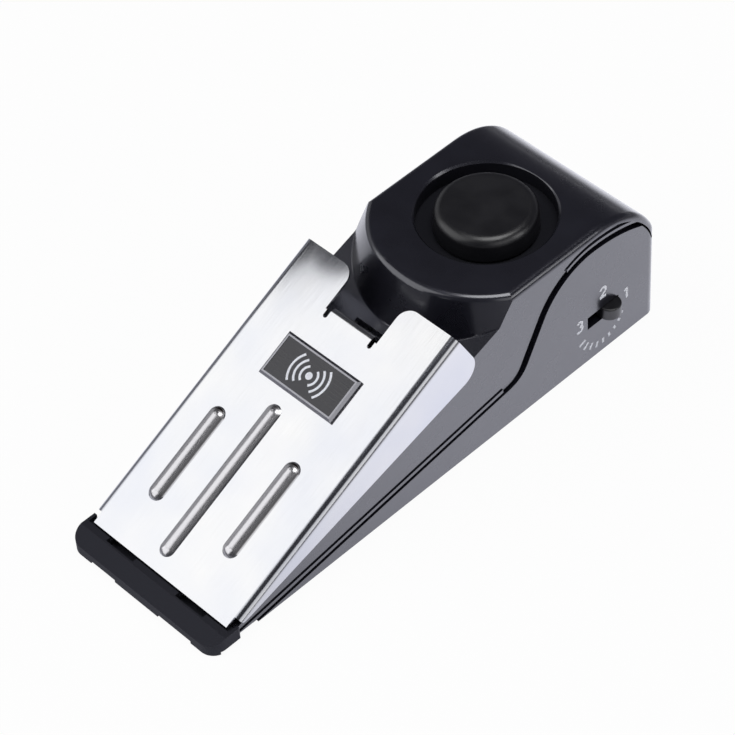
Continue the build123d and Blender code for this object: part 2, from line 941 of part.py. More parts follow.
def sounder_ring():
    """Housing ring of the sounder with a rebate for the disc."""
    low = sounder_top() - sounder_height
    ring = rod(0, siren_station, low, sounder_top(), sounder_radius)
    ring -= rod(0, siren_station, low - overrun, sounder_top() + overrun, sounder_bore)
    return ring - rod(0, siren_station, low - overrun, diaphragm_top(), diaphragm_radius + seat_gap)


def sounder_disc():
    """Thin brass disc of the sounder."""
    return rod(0, siren_station, diaphragm_top() - diaphragm_thickness, diaphragm_top(), diaphragm_radius)


def sounder_ceramic():
    """Ceramic layer on the lower face of the disc."""
    high = diaphragm_top() - diaphragm_thickness
    return rod(0, siren_station, high - ceramic_thickness, high, ceramic_radius)


def plunger():
    """Round-topped plunger with the flange that the spring pushes up."""
    centre = crown_height(0)
    foot = plunger_foot() + bridge_thickness
    body = rod(0, plunger_station, foot, centre, plunger_radius)
    body += Pos(0, plunger_station, centre) * Sphere(plunger_radius)
    body += rod(0, plunger_station, foot, foot + plunger_flange, plunger_flange_radius)
    top = foot + bridge_pin_length
    return body - rod(0, plunger_station, foot - overrun, top, bridge_pin_radius + seat_gap)


def contact_bridge():
    """Disc with a pin, pressed into the plunger, that joins the two contacts."""
    low = plunger_foot()
    radius = spring_radius - spring_wire - free_gap
    bridge = rod(0, plunger_station, low, low + bridge_thickness, radius)
    return bridge + rod(0, plunger_station, low, low + bridge_pin_length, bridge_pin_radius)


def contact_posts():
    """Two round-topped contacts on the board."""
    centre = board_top + contact_height - contact_radius
    post = rod(contact_offset, plunger_station, board_top, centre, contact_radius)
    post += Pos(contact_offset, plunger_station, centre) * Sphere(contact_radius)
    return Compound(children=[post, mirror(post, about=Plane.YZ)])


def arc_pair(start, leave, end, arrive):
    """Two arcs that run smoothly from one point and direction to another."""
    span = end - start
    both = leave + arrive
    spread = 2 * (1 - leave.dot(arrive))
    along = span.dot(both)
    reach = (sqrt(along ** 2 + spread * span.dot(span)) - along) / spread
    joint = (start + end + (leave - arrive) * reach) * (1 / 2)
    first = TangentArc(start, joint, tangent=leave)
    return [first, TangentArc(joint, end, tangent=first % 1)]


def spring_point(quarter, low, climb):
    """Point and direction on the spring's helix after a number of quarter turns."""
    turn = quarter * pi / 2
    x = spring_radius * cos(turn)
    station = plunger_station + spring_radius * sin(turn)
    direction = Vector(-spring_radius * sin(turn), spring_radius * cos(turn), climb * 2 / pi)
    return Vector(x, station, low + quarter * climb), direction.normalized()


def plunger_spring():
    """Coil spring between the board and the plunger's flange."""
    radius = spring_wire / 2
    low = board_top + seat_gap + radius
    high = plunger_foot() + bridge_thickness - seat_gap - radius
    quarters = 4 * spring_turns
    climb = (high - low) / quarters
    arcs = []
    for quarter in range(quarters):
        start, leave = spring_point(quarter, low, climb)
        end, arrive = spring_point(quarter + 1, low, climb)
        arcs += arc_pair(start, leave, end, arrive)
    path = Wire(arcs)
    count = quarters * spring_samples
    points = [path @ (place / count) for place in range(count + 1)]
    gaps = [
        (first - second).length - spring_wire
        for place, first in enumerate(points)
        for second in points[place + 2 * spring_samples:]
    ]
    print("least gap between the spring's turns", round(min(gaps), 3), "mm")
    section = Plane(path @ 0, z_dir=path % 0) * Circle(radius)
    return sweep(section, path)


def on_board(offset, share):
    """Place across and station of a component at a share of the board's length."""
    return (offset, board_front + board_length * share)


def circuit_board():
    """Board with holes for its screws."""
    middle = (board_front + board_back) / 2
    plan = Pos(0, middle) * RectangleRounded(2 * board_half_width, board_back - board_front, board_corner)
    board = extrude(Pos(0, 0, board_bottom) * plan, amount=board_thickness)
    for x, station in board_screw_places():
        board -= rod(x, station, 0, board_top + overrun, board_screw_radius + seat_gap)
    return board


def screw(x, station, seat, sizes, up):
    """Cross-headed screw whose head rests on a seat and whose shank runs up or down from it."""
    radius, head_radius, head_height, length = sizes
    body = rod(0, 0, -length, 0, radius) + rod(0, 0, 0, head_height, head_radius)
    body = fillet(body.edges().sort_by(Axis.Z)[-1], head_height / 3)
    cross = Box(2 * radius, cross_width, 2 * cross_depth)
    body -= Pos(0, 0, head_height) * (cross + Rot(0, 0, 90) * cross)
    return Pos(x, station, seat) * Rot(180 if up else 0, 0, 0) * body


def case_screws():
    """Screws that close the case from below."""
    seat = stand_off + screw_recess + screw_head_height
    return Compound(children=[
        screw(x, station, seat, (screw_radius, screw_head_radius, screw_head_height, length), True)
        for x, station, top, length in screw_places()
    ])


def board_screws():
    """Screws that hold the board on its posts."""
    sizes = (board_screw_radius - seat_gap / 3, board_screw_head, board_screw_head_height, board_screw_length)
    return Compound(children=[
        screw(x, station, board_top, sizes, False) for x, station in board_screw_places()
    ])


def alarm_chip():
    """Moulded body of the alarm chip."""
    x, station = on_board(chip_offset, chip_share)
    low = board_top + chip_lift
    body = Pos(x, station, low + chip_height / 2) * Box(chip_width, chip_length, chip_height)
    body = chamfer(body.faces().sort_by(Axis.Z)[-1].edges(), chip_lift)
    top = low + chip_height
    notch = rod(x, station - chip_length / 2, top - chip_lift, top + chip_lift, chip_lift)
    return body - notch


def chip_pins():
    """Bent pins on both sides of the chip."""
    x, station = on_board(chip_offset, chip_share)
    level = board_top + chip_lift + chip_height / 2
    pins = []
    for count in range(pins_a_side):
        place = station + (count - (pins_a_side - 1) / 2) * pin_pitch
        for side in (-1, 1):
            inner = side * chip_width / 2
            outer = side * pin_reach / 2
            near, far = sorted((x + inner, x + outer))
            pin = block(near, far, place - pin_width / 2, place + pin_width / 2, level - pin_width / 2, level)
            edge = x + outer
            near, far = sorted((edge, edge - side * pin_width / 2))
            pin += block(near, far, place - pin_width / 2, place + pin_width / 2, board_top, level)
            pins.append(pin)
    return Compound(children=pins)


def boost_coil_core():
    """Drum core of the step-up coil."""
    x, station = on_board(coil_offset, coil_share)
    low = board_top
    core = rod(x, station, low, low + coil_height, coil_core_radius)
    core += rod(x, station, low, low + coil_flange, coil_flange_radius)
    return core + rod(x, station, low + coil_height - coil_flange, low + coil_height, coil_flange_radius)


def boost_coil_sleeve():
    """Shrunk sleeve over the coil's winding."""
    x, station = on_board(coil_offset, coil_share)
    low = board_top + coil_flange + winding_gap
    high = board_top + coil_height - coil_flange - winding_gap
    sleeve = rod(x, station, low, high, winding_radius)
    return sleeve - rod(x, station, low - overrun, high + overrun, coil_core_radius + winding_gap)


def transistor():
    """Half-round transistor body."""
    x, station = on_board(transistor_offset, transistor_share)
    low = board_top + transistor_lift
    body = rod(x, station, low, low + transistor_height, transistor_radius)
    front = station - transistor_radius * transistor_flat_share
    return body - block(
        x - case_width, x + case_width, front - case_length, front,
        low - overrun, low + transistor_height + overrun
    )


def transistor_legs():
    """Three legs of the transistor."""
    x, station = on_board(transistor_offset, transistor_share)
    high = board_top + transistor_lift
    return Compound(children=[
        Pos(x + side * transistor_pitch, station, (board_top + high) / 2)
        * Box(transistor_leg, transistor_leg, high - board_top)
        for side in (-1, 0, 1)
    ])


def capacitor():
    """Electrolytic capacitor with the crimp groove near its foot."""
    x, station = on_board(capacitor_offset, capacitor_share)
    body = rod(x, station, board_top, board_top + capacitor_height, capacitor_radius)
    body = fillet(body.edges().sort_by(Axis.Z)[-1], capacitor_groove)
    level = board_top + capacitor_height / 5
    return body - Pos(x, station, level) * Torus(capacitor_radius, capacitor_groove)


def vibration_sensor():
    """Tube of the vibration sensor."""
    x, station = on_board(sensor_offset, sensor_share)
    body = rod(x, station, board_top, board_top + sensor_height, sensor_radius)
    return fillet(body.edges().sort_by(Axis.Z)[-1], sensor_pin_radius)


def sensor_pin():
    """Pin on top of the vibration sensor."""
    x, station = on_board(sensor_offset, sensor_share)
    low = board_top + sensor_height
    return rod(x, station, low, low + sensor_pin_length, sensor_pin_radius)


def resistor_places():
    """Place across and station of each resistor."""
    x, station = on_board(resistor_offset, resistor_share)
    return [(x + count * resistor_pitch, station) for count in range(resistor_count)]


def resistors():
    """Bodies of the resistors, thicker at both ends."""
    bodies = []
    for x, station in resistor_places():
        lie = Pos(x, station, board_top + resistor_lift) * Rot(90, 0, 0)
        body = lie * Cylinder(resistor_radius - resistor_lead, resistor_length)
        for side in (-1, 1):
            end = Pos(0, 0, side * (resistor_length / 2 - resistor_radius))
            body += lie * end * Cylinder(resistor_radius, 2 * resistor_radius)
        bodies.append(body)
    return Compound(children=bodies)


def resistor_leads():
    """Bent leads at both ends of each resistor."""
    leads = []
    for x, station in resistor_places():
        level = board_top + resistor_lift
        for side in (-1, 1):
            near = station + side * resistor_length / 2
            far = near + side * resistor_lead_run
            points = ((x, near, level), (x, far, level), (x, far, board_top))
            leads.append(tube(points, resistor_lead))
    return Compound(children=leads)


def tube(points, radius):
    """Round tube along straight runs that are joined by arcs as large as the runs allow."""
    runs = [hypot(*(b - a for a, b in zip(first, second))) for first, second in zip(points, points[1:])]
    bends = [wire_bend_share * min(pair) for pair in zip(runs, runs[1:])]
    path = FilletPolyline(*points, radius=bends)
    section = Plane(path @ 0, z_dir=path % 0) * Circle(radius)
    return sweep(section, path)


def terminal_places():
    """Place across of the battery's plus and minus terminals."""
    return (-terminal_spacing / 2, terminal_spacing / 2)


def battery_level():
    """Height of the battery's middle above the floor."""
    return floor_top + battery_height / 2


def lying(x, start, end, radius):
    """Round rod that lies along the case at the battery's level."""
    return Pos(x, (start + end) / 2, battery_level()) * Rot(90, 0, 0) * Cylinder(radius, end - start)


def stud(x, start, end):
    """Male snap contact."""
    return lying(x, start, end, stud_radius)


def socket(x, start, end):
    """Female snap contact, an open ring."""
    ring = lying(x, start, end, socket_radius)
    return ring - lying(x, start - overrun, end + overrun, socket_radius - socket_wall)


def battery_slice(start, end, inset=0):
    """Length of the battery's rounded block."""
    plan = RectangleRounded(battery_width - 2 * inset, battery_height - 2 * inset, battery_round - inset)
    return Pos(0, start, battery_level()) * extrude(Plane.XZ * plan, amount=start - end)


def battery():
    """Jacket of the battery."""
    return battery_slice(battery_front + battery_rim, battery_front + battery_length - battery_rim)


def battery_rims():
    """Crimped metal ends of the battery."""
    end = battery_front + battery_length
    front = battery_slice(battery_front, battery_front + battery_rim)
    front -= battery_slice(battery_front - overrun, battery_front + battery_rim_depth, battery_rim)
    back = battery_slice(end - battery_rim, end)
    back -= battery_slice(end - battery_rim_depth, end + overrun, battery_rim)
    return Compound(children=[front, back])


def terminal_front():
    """Station where the battery's terminals end."""
    return battery_front + battery_rim_depth - terminal_height


def battery_plus_stud():
    """Male terminal of the battery."""
    return stud(terminal_places()[0], terminal_front(), battery_front + battery_rim_depth)


def battery_minus_stud():
    """Female terminal of the battery."""
    return socket(terminal_places()[1], terminal_front(), battery_front + battery_rim_depth)


def snap_face():
    """Station of the connector's face towards the battery."""
    return terminal_front() - snap_cup_depth


def snap_connector():
    """Moulded strip that carries the snap contacts."""
    plan = Plane.XZ * RectangleRounded(snap_length, snap_width, snap_round)
    return Pos(0, snap_face(), battery_level()) * extrude(plan, amount=snap_thickness)


def snap_contacts():
    """Female and male contacts of the connector, closed on the battery's terminals."""
    start = snap_face()
    end = battery_front + battery_rim_depth - snap_cup_depth
    plus, minus = terminal_places()
    return Compound(children=[socket(plus, start, end), stud(minus, start, end)])


def battery_lead(side):
    """Insulated lead from the connector to the board."""
    x = side * battery_lead_offset
    start = snap_face() - snap_thickness
    points = (
        (x, start, battery_lead_height),
        (x, lead_landing, battery_lead_height),
        (x, lead_landing, board_top),
    )
    return tube(points, wire_radius)


def sounder_leads():
    """Two leads from the sounder's faces down to the board."""
    under = diaphragm_top() - diaphragm_thickness
    heights = (under - ceramic_thickness, under)
    leads = []
    for count, start in enumerate(heights):
        x = sounder_lead_offset + count * wire_pitch
        points = (
            (x, siren_station, start),
            (x, siren_station, sounder_lead_height),
            (x, lead_landing, sounder_lead_height),
            (x, lead_landing, board_top),
        )
        leads.append(tube(points, wire_radius))
    return Compound(children=leads)


def sense_body_box(inset=0):
    """Body of the sensitivity switch behind its slot, or the same box drawn in."""
    face = half_width - wall - seat_gap
    margin = sense_body_margin - inset
    return (
        face - sense_body_depth, face,
        sense_start - margin, sense_end + margin,
        sense_low - margin, sense_high + margin,
    )


def sensitivity_switch():
    """Body of the slide switch behind the side wall."""
    body = block(*sense_body_box())
    face = half_width - wall - seat_gap
    return body - block(face - sense_cavity, face + overrun, sense_start, sense_end, sense_low, sense_high)


def sensitivity_knob():
    """Finger tab with a round end, standing out of the slot."""
    radius = sense_knob_radius
    low = sense_low + sense_knob_fit
    height = sense_high - sense_low - 2 * sense_knob_fit
    inside = half_width - wall - seat_gap - sense_cavity + free_gap
    plan = Pos(half_width, sense_knob_rest) * Circle(radius)
    plan += Pos((inside + half_width) / 2, sense_knob_rest) * Rectangle(half_width - inside, 2 * radius)
    knob = extrude(Pos(0, 0, low) * plan, amount=height)
    rim = [edge for edge in knob.edges() if edge.geom_type == GeomType.CIRCLE]
    return fillet(rim, sense_knob_edge)


def switch_leads():
    """Leads from the sensitivity switch to the board, one above the other."""
    body = sense_body_box()
    x = body[0] + wire_radius + free_gap
    leads = []
    for count in range(2):
        height = sense_lead_height + count * wire_pitch
        landing = sense_lead_landing - count * wire_pitch
        route = ((x, body[2], height), (x, landing, height), (x, landing, board_top))
        leads.append(tube(route, wire_radius))
    return Compound(children=leads)


def power_body_box():
    """Body of the power switch inside the rear wall, clear of the roof's curve."""
    top = power_height + power_slot_height / 2 + power_body_margin
    bottom = power_height - power_slot_height / 2 - power_body_margin
    rise = top - (case_height - roof_arc_radius)
    back = roof_arc_station + sqrt((roof_arc_radius - wall) ** 2 - rise ** 2) - seat_gap
    half = power_slot_half + power_body_margin
    return (-half, half, back - power_body_depth, back, bottom, top)


def power_switch():
    """Body of the power switch."""
    box = power_body_box()
    half = power_slot_height / 2
    return block(*box) - block(
        -power_slot_half, power_slot_half, box[3] - power_cavity, box[3] + overrun,
        power_height - half, power_height + half,
    )


def power_knob():
    """Ridged slider of the power switch, at the off end of its slot."""
    box = power_body_box()
    x = -power_travel / 2
    half = power_slot_height / 2 - seat_gap
    start = box[3] - power_cavity + free_gap
    end = rear_station + power_knob_proud
    knob = block(
        x - power_knob_width / 2, x + power_knob_width / 2, start, end,
        power_height - half, power_height + half
    )
    for count in range(power_ridge_count):
        place = x + (count - (power_ridge_count - 1) / 2) * power_ridge_pitch
        knob -= Pos(place, end, power_height) * Cylinder(power_ridge, 2 * half + overrun)
    return knob


def power_leads():
    """Leads from the power switch over the battery to the board."""
    box = power_body_box()
    inner = box[0] + 2 * wire_radius
    leads = []
    for count in range(2):
        x = -power_lead_offset - count * wire_pitch
        height = power_height + (count - 1 / 2) * wire_pitch
        points = (
            (inner, box[2], height),
            (inner, box[2] - power_body_depth / 2, height),
            (x, box[2] - 2 * power_body_depth, height),
            (x, lead_landing, height),
            (x, lead_landing, board_top),
        )
        leads.append(tube(points, wire_radius))
    return Compound(children=leads)


def battery_door(form):
    """Sliding door below the battery, with side tongues and finger ridges."""
    door = block(-door_half_width, door_half_width, door_front + door_fit, rear_station, stand_off,
                 stand_off + door_thickness)
    low = door_tongue_height
    tongue_half_width = door_half_width + door_tongue
    door += block(-tongue_half_width, tongue_half_width, door_front + door_fit, rear_station - wall - overrun,
                  low, low + door_tongue_thickness)
    door &= form
    for count in range(door_grip_count):
        start = case_length - door_grip_to_rear + count * door_grip_pitch
        half = door_grip_length / 2
        door -= block(-half, half, start, start + door_grip_width, -overrun, stand_off + door_grip_depth)
    return door


def front_grip_pad():
    """Grooved rubber pad below the wedge."""
    pad = extrude(front_pad_plan(), amount=pad_thickness)
    grooves = int((front_pad_end - front_pad_start - 2 * pad_groove_margin) / pad_groove_pitch) + 1
    for count in range(grooves):
        middle = front_pad_start + pad_groove_margin + count * pad_groove_pitch
        half = pad_groove_width / 2
        pad -= block(-case_width, case_width, middle - half, middle + half, -overrun, pad_groove_depth)
    return pad


def rear_grip_feet():
    """Rubber strips on both sides of the battery door."""
    strip = extrude(rear_pad_plan(), amount=pad_thickness)
    return Compound(children=[strip, mirror(strip, about=Plane.YZ)])


def pieces():
    """Every piece of the alarm, by name."""
    form = rounded_case_form()
    return {
        "upper_case": upper_case(form),
        "lower_case": lower_case(form),
        "battery_door": battery_door(form),
        "front_grip_pad": front_grip_pad(),
        "rear_grip_feet": rear_grip_feet(),
        "case_screws": case_screws(),
        "strike_plate": strike_plate(),
        "badge_frame": badge_frame(),
        "badge_face": badge_face(),
        "siren_cap": siren_cap(),
        "sounder_ring": sounder_ring(),
        "sounder_disc": sounder_disc(),
        "sounder_ceramic": sounder_ceramic(),
        "sounder_leads": sounder_leads(),
        "plunger": plunger(),
        "plunger_spring": plunger_spring(),
        "contact_bridge": contact_bridge(),
        "contact_posts": contact_posts(),
        "circuit_board": circuit_board(),
        "board_screws": board_screws(),
        "alarm_chip": alarm_chip(),
        "chip_pins": chip_pins(),
        "boost_coil_core": boost_coil_core(),
        "boost_coil_sleeve": boost_coil_sleeve(),
        "transistor": transistor(),
        "transistor_legs": transistor_legs(),
        "capacitor": capacitor(),
        "vibration_sensor": vibration_sensor(),
        "sensor_pin": sensor_pin(),
        "resistors": resistors(),
        "resistor_leads": resistor_leads(),
        "battery": battery(),
        "battery_rims": battery_rims(),
        "battery_plus_stud": battery_plus_stud(),
        "battery_minus_stud": battery_minus_stud(),
        "snap_connector": snap_connector(),
        "snap_contacts": snap_contacts(),
        "battery_lead_red": battery_lead(-1),
        "battery_lead_black": battery_lead(1),
        "sensitivity_switch": sensitivity_switch(),
        "sensitivity_knob": sensitivity_knob(),
        "switch_leads": switch_leads(),
        "power_switch": power_switch(),
        "power_knob": power_knob(),
        "power_leads": power_leads(),
    }


os.makedirs("parts", exist_ok=True)
for name, piece in pieces().items():
    export_step(Pos(0, -case_length / 2, 0) * piece, f"parts/{name}.step")
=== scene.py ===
# %% [markdown]
# # A door stop alarm
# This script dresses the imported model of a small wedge-shaped alarm. The wedge goes under a door, the door
# presses the bright folded plate down and the siren in the rear tower sounds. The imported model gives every
# solid its shape and place, in metres. Here each visible surface gets the finish of the real one, and fine
# pieces that a solid model leaves out, such as printed marks, are added on top.

# %% Load the frame
import math
import bpy
import numpy as np
from mathutils import Matrix, Vector


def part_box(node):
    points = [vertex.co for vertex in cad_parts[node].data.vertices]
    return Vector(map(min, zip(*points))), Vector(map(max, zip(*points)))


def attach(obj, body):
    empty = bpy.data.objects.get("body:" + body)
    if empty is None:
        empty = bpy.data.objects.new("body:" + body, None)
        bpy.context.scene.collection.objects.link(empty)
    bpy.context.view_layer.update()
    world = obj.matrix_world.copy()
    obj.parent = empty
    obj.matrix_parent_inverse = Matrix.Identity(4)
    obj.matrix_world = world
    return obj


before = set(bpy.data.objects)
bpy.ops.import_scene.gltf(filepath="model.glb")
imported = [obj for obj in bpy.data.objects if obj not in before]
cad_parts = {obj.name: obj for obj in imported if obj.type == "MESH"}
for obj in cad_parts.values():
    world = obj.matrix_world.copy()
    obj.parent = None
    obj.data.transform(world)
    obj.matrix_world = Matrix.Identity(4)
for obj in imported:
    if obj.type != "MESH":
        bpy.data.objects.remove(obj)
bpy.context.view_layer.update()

# %% [markdown]
# ## Helpers
# Colours are written as sRGB hex values, as a paint chart gives them, and Blender's shaders want linear
# light, so one function converts them. A second one feeds a node: it links sockets and sets plain values. A
# third adds a shader node with its settings and feeds it. Lengths are thought of in millimetres and written
# that way, times one unit.

# %% Units, colours and nodes
MM = 0.001


def linear(colour):
    """sRGB hex to linear RGBA: a channel c is c / 12.92 when small, else ((c + 0.055) / 1.055) ** 2.4."""
    channels = [int(colour[i:i + 2], 16) / 255 for i in (1, 3, 5)]
    light = [c / 12.92 if c <= 0.04045 else ((c + 0.055) / 1.055) ** 2.4 for c in channels]
    return (*light, 1.0)


def feed(tree, node, inputs):
    """Feed a node's inputs: a socket is linked, and a number or colour is set on the input itself."""
    for name, value in inputs.items():
        if isinstance(value, bpy.types.NodeSocket):
            tree.links.new(value, node.inputs[name])
        else:
            node.inputs[name].default_value = value


def add(tree, kind, inputs=None, **settings):
    """Add a node of a kind: settings are its properties, and inputs feed it."""
    node = tree.nodes.new(kind)
    for name, value in settings.items():
        setattr(node, name, value)
    feed(tree, node, inputs or {})
    return node


# %% [markdown]
# ## Camera
# The photo was taken from the front right and from well above, from about 0.7 m away. The camera's place,
# roll and lens come from a fit to the object's corners. The picture's optical centre lies a little beside
# the frame's centre, which a small shift repeats.

# %% Camera
IMAGE_SIDE = 735
FOCAL_PIXELS = 3125.6
OPTICAL_CENTRE = (356.92, 374.25)
camera_data = bpy.data.cameras.new("camera")
camera_data.sensor_width = 36.0
camera_data.lens = camera_data.sensor_width * FOCAL_PIXELS / IMAGE_SIDE
camera_data.shift_x = (IMAGE_SIDE / 2 - OPTICAL_CENTRE[0]) / IMAGE_SIDE
camera_data.shift_y = (OPTICAL_CENTRE[1] - IMAGE_SIDE / 2) / IMAGE_SIDE
camera_data.clip_start = 0.05
camera_data.clip_end = 20.0
camera = bpy.data.objects.new("camera", camera_data)
bpy.context.scene.collection.objects.link(camera)
azimuth, elevation, roll = (math.radians(angle) for angle in (48.79, 47.16, -4.42))
target = Vector((-4.06, 0.10, 15.1)) * MM
distance = 734.6 * MM
back = Vector((
    math.sin(azimuth) * math.cos(elevation), -math.cos(azimuth) * math.cos(elevation), math.sin(elevation)
))
camera.rotation_mode = "QUATERNION"
turn = (-back).to_track_quat("-Z", "Y").to_matrix() @ Matrix.Rotation(roll, 3, "Z")
camera.rotation_quaternion = turn.to_quaternion()
camera.location = target + back * distance
bpy.context.scene.camera = camera
print("camera", [round(c, 4) for c in camera.location], "lens", round(camera_data.lens, 1))

# %% [markdown]
# ## Studio
# The object was photographed on white in a soft-box studio, and bright steel and black plastic show little
# but their surroundings. So the surroundings are made first. A big soft box low on the front left is what
# the sloping plate mirrors as white. A second one hangs overhead and lights the horizontal faces and the
# floor, and a third on the right behind the object draws the pale lines along the roof's rounded edges. Two
# grey panels, left and right, are what the beads' flanks and the folds mirror. Between them the room is
# dark, which the flat black tops mirror as black. All five are the same distance from the origin, in metres,
# and face it.

# %% Soft boxes
LAMP_DISTANCE = 1.6


def soft_box(name, direction, width, height, radiance):
    """A rectangular lamp that looks at the object: its power is radiance times pi times its area."""
    lamp = bpy.data.lights.new(name, "AREA")
    lamp.shape = "RECTANGLE"
    lamp.size = width
    lamp.size_y = height
    lamp.energy = radiance * math.pi * width * height
    box = bpy.data.objects.new(name, lamp)
    towards = Vector(direction).normalized()
    box.location = towards * LAMP_DISTANCE
    box.rotation_mode = "QUATERNION"
    box.rotation_quaternion = (-towards).to_track_quat("-Z", "Y")
    bpy.context.scene.collection.objects.link(box)
    return box


boxes = [
    soft_box("plate_soft_box", (-0.50, -0.64, 0.58), width=1.7, height=1.6, radiance=1.24),
    soft_box("top_soft_box", (0.13, 0.07, 0.99), width=1.0, height=0.9, radiance=3.8),
    soft_box("rear_soft_box", (0.82, 0.36, 0.40), width=0.55, height=0.8, radiance=2.6),
    soft_box("left_panel", (-0.95, -0.05, 0.28), width=1.8, height=0.8, radiance=0.3),
    soft_box("right_panel", (0.90, -0.22, 0.42), width=1.0, height=0.9, radiance=0.85),
]
print("lamps", [round(box.data.energy, 2) for box in boxes])

# %% [markdown]
# The room's walls are a plain ramp over the height that a ray looks at: a narrow pale strip at the horizon,
# dark grey above it and a little darker overhead. The camera itself sees a white backdrop instead. The floor
# is a plain square. The view transform is Standard, so that a colour renders about as it is written.

# %% Room and floor
world = bpy.data.worlds.new("studio")
world.use_nodes = True
sky = world.node_tree
background = sky.nodes["Background"]
heading = add(sky, "ShaderNodeTexCoord")
height = add(sky, "ShaderNodeSeparateXYZ", {"Vector": heading.outputs["Generated"]})
fall = add(sky, "ShaderNodeValToRGB", {"Fac": height.outputs["Z"]})
fall.color_ramp.elements[0].position = 0.0
fall.color_ramp.elements[0].color = linear("#E6E6EA")
fall.color_ramp.elements[1].position = 1.0
fall.color_ramp.elements[1].color = linear("#3C3C40")
for position, tone in ((0.02, "#5C5C63"), (0.2, "#4A4A50"), (0.6, "#3C3C41")):
    element = fall.color_ramp.elements.new(position)
    element.color = linear(tone)
looks = add(sky, "ShaderNodeLightPath")
backdrop = add(sky, "ShaderNodeMix", {
    0: looks.outputs["Is Camera Ray"], 6: fall.outputs["Color"], 7: linear("#FFFFFF"),
}, data_type="RGBA")
sky.links.new(backdrop.outputs[2], background.inputs["Color"])
bpy.context.scene.world = world
bpy.context.scene.view_settings.view_transform = "Standard"

FLOOR_REACH = 4.0
floor_mesh = bpy.data.meshes.new("floor")
signs = ((-1, -1), (1, -1), (1, 1), (-1, 1))
floor_mesh.from_pydata([(x * FLOOR_REACH, y * FLOOR_REACH, 0) for x, y in signs], [], [(0, 1, 2, 3)])
floor = bpy.data.objects.new("floor", floor_mesh)
bpy.context.scene.collection.objects.link(floor)

# %% [markdown]
# The paper shows itself as plain white to the camera, so the picture has a white ground. In reflections it
# is a pool of light on a dark table. The pool's centre lies 60 mm behind the object's middle, and its light
# fades between 50 and 250 mm from there to about an eighth. So a glossy black side mirrors the white near
# it, the toe's sides mirror it a little darker, and the far edge of the roof mirrors the table. Two shares
# say how much of the paper is a glow for the camera and for mirrored rays.

# %% What each ray sees of the paper
LIGHT_CENTRE = 60
LIGHT_FADE = (50, 250)
TABLE_LIGHT = 0.12
CAMERA_SHARE = 0.95
MIRROR_SHARE = 0.45
paper = bpy.data.materials.new("white_paper")
paper.use_nodes = True
tree = paper.node_tree
tree.nodes.clear()
rays = add(tree, "ShaderNodeLightPath")
mirrored = add(tree, "ShaderNodeMath", {
    0: rays.outputs["Is Glossy Ray"], 1: rays.outputs["Is Transmission Ray"],
}, operation="MAXIMUM")
spot = add(tree, "ShaderNodeTexCoord")
away = add(tree, "ShaderNodeVectorMath", {0: spot.outputs["Object"], 1: (0, LIGHT_CENTRE * MM, 0)},
           operation="DISTANCE")
pool = add(tree, "ShaderNodeMapRange", {
    "Value": away.outputs["Value"], "From Min": LIGHT_FADE[0] * MM, "From Max": LIGHT_FADE[1] * MM,
    "To Min": 1.0, "To Max": TABLE_LIGHT,
}, interpolation_type="SMOOTHSTEP")
shown = add(tree, "ShaderNodeMix", {0: mirrored.outputs[0], 2: 1.0, 3: pool.outputs["Result"]})
mirror_share = add(tree, "ShaderNodeMath", {0: mirrored.outputs[0], 1: MIRROR_SHARE},
                   operation="MULTIPLY")
camera_share = add(tree, "ShaderNodeMath", {0: rays.outputs["Is Camera Ray"], 1: CAMERA_SHARE},
                   operation="MULTIPLY")
share = add(tree, "ShaderNodeMath", {0: camera_share.outputs[0], 1: mirror_share.outputs[0]},
            operation="MAXIMUM")

# %% [markdown]
# The rest of the paper is always its diffuse shading, so the object's soft shadow lies on it and the sides
# grow dark towards their foot. Its tint varies a little over patches, 400 of them across the floor, which
# are 20 mm each. The glow for mirrored rays is a little blue and stronger than white. Seen from below the
# paper is clear, so that the object's underside can be looked at.

# %% White paper
PAPER_PATCHES = 400.0
PAPER_TINT = (0.96, 1.0)
MIRROR_GLOW = 1.75
patch = add(tree, "ShaderNodeTexNoise", {"Scale": PAPER_PATCHES, "Detail": 3.0})
tint = add(tree, "ShaderNodeMapRange", {
    "Value": patch.outputs["Fac"], "To Min": PAPER_TINT[0], "To Max": PAPER_TINT[1],
})
pale = add(tree, "ShaderNodeMath", {0: tint.outputs["Result"], 1: shown.outputs[0]}, operation="MULTIPLY")
cool = add(tree, "ShaderNodeMix", {0: mirrored.outputs[0], 6: linear("#FFFFFF"), 7: linear("#F0F1FF")},
           data_type="RGBA")
matt = add(tree, "ShaderNodeBsdfDiffuse", {"Color": pale.outputs[0]})
level = add(tree, "ShaderNodeMix", {0: mirrored.outputs[0], 2: 1.0, 3: MIRROR_GLOW})
strength = add(tree, "ShaderNodeMath", {0: level.outputs[0], 1: shown.outputs[0]}, operation="MULTIPLY")
glow = add(tree, "ShaderNodeEmission", {"Color": cool.outputs[2], "Strength": strength.outputs[0]})
shade = add(tree, "ShaderNodeMixShader", {0: share.outputs[0], 1: matt.outputs[0], 2: glow.outputs[0]})
clear = add(tree, "ShaderNodeBsdfTransparent")
faces = add(tree, "ShaderNodeNewGeometry")
one_sided = add(tree, "ShaderNodeMixShader", {
    0: faces.outputs["Backfacing"], 1: shade.outputs[0], 2: clear.outputs[0],
})
add(tree, "ShaderNodeOutputMaterial", {"Surface": one_sided.outputs[0]})
floor_mesh.materials.append(paper)

# %% [markdown]
# ## Starting a finish
# Each finish starts the same way: a material with its shader, and the object coordinates that its patterns
# read. All solids sit at the origin, so object coordinates are metres in the object's own frame, and a
# pattern whose features are a given number of millimetres across has one over that length as its scale. A
# noise's values lie mostly between 0.3 and 0.7, so that span is what most patterns are mapped from.

# %% Start and assign a finish
NOISE_SPAN = {"From Min": 0.3, "From Max": 0.7}


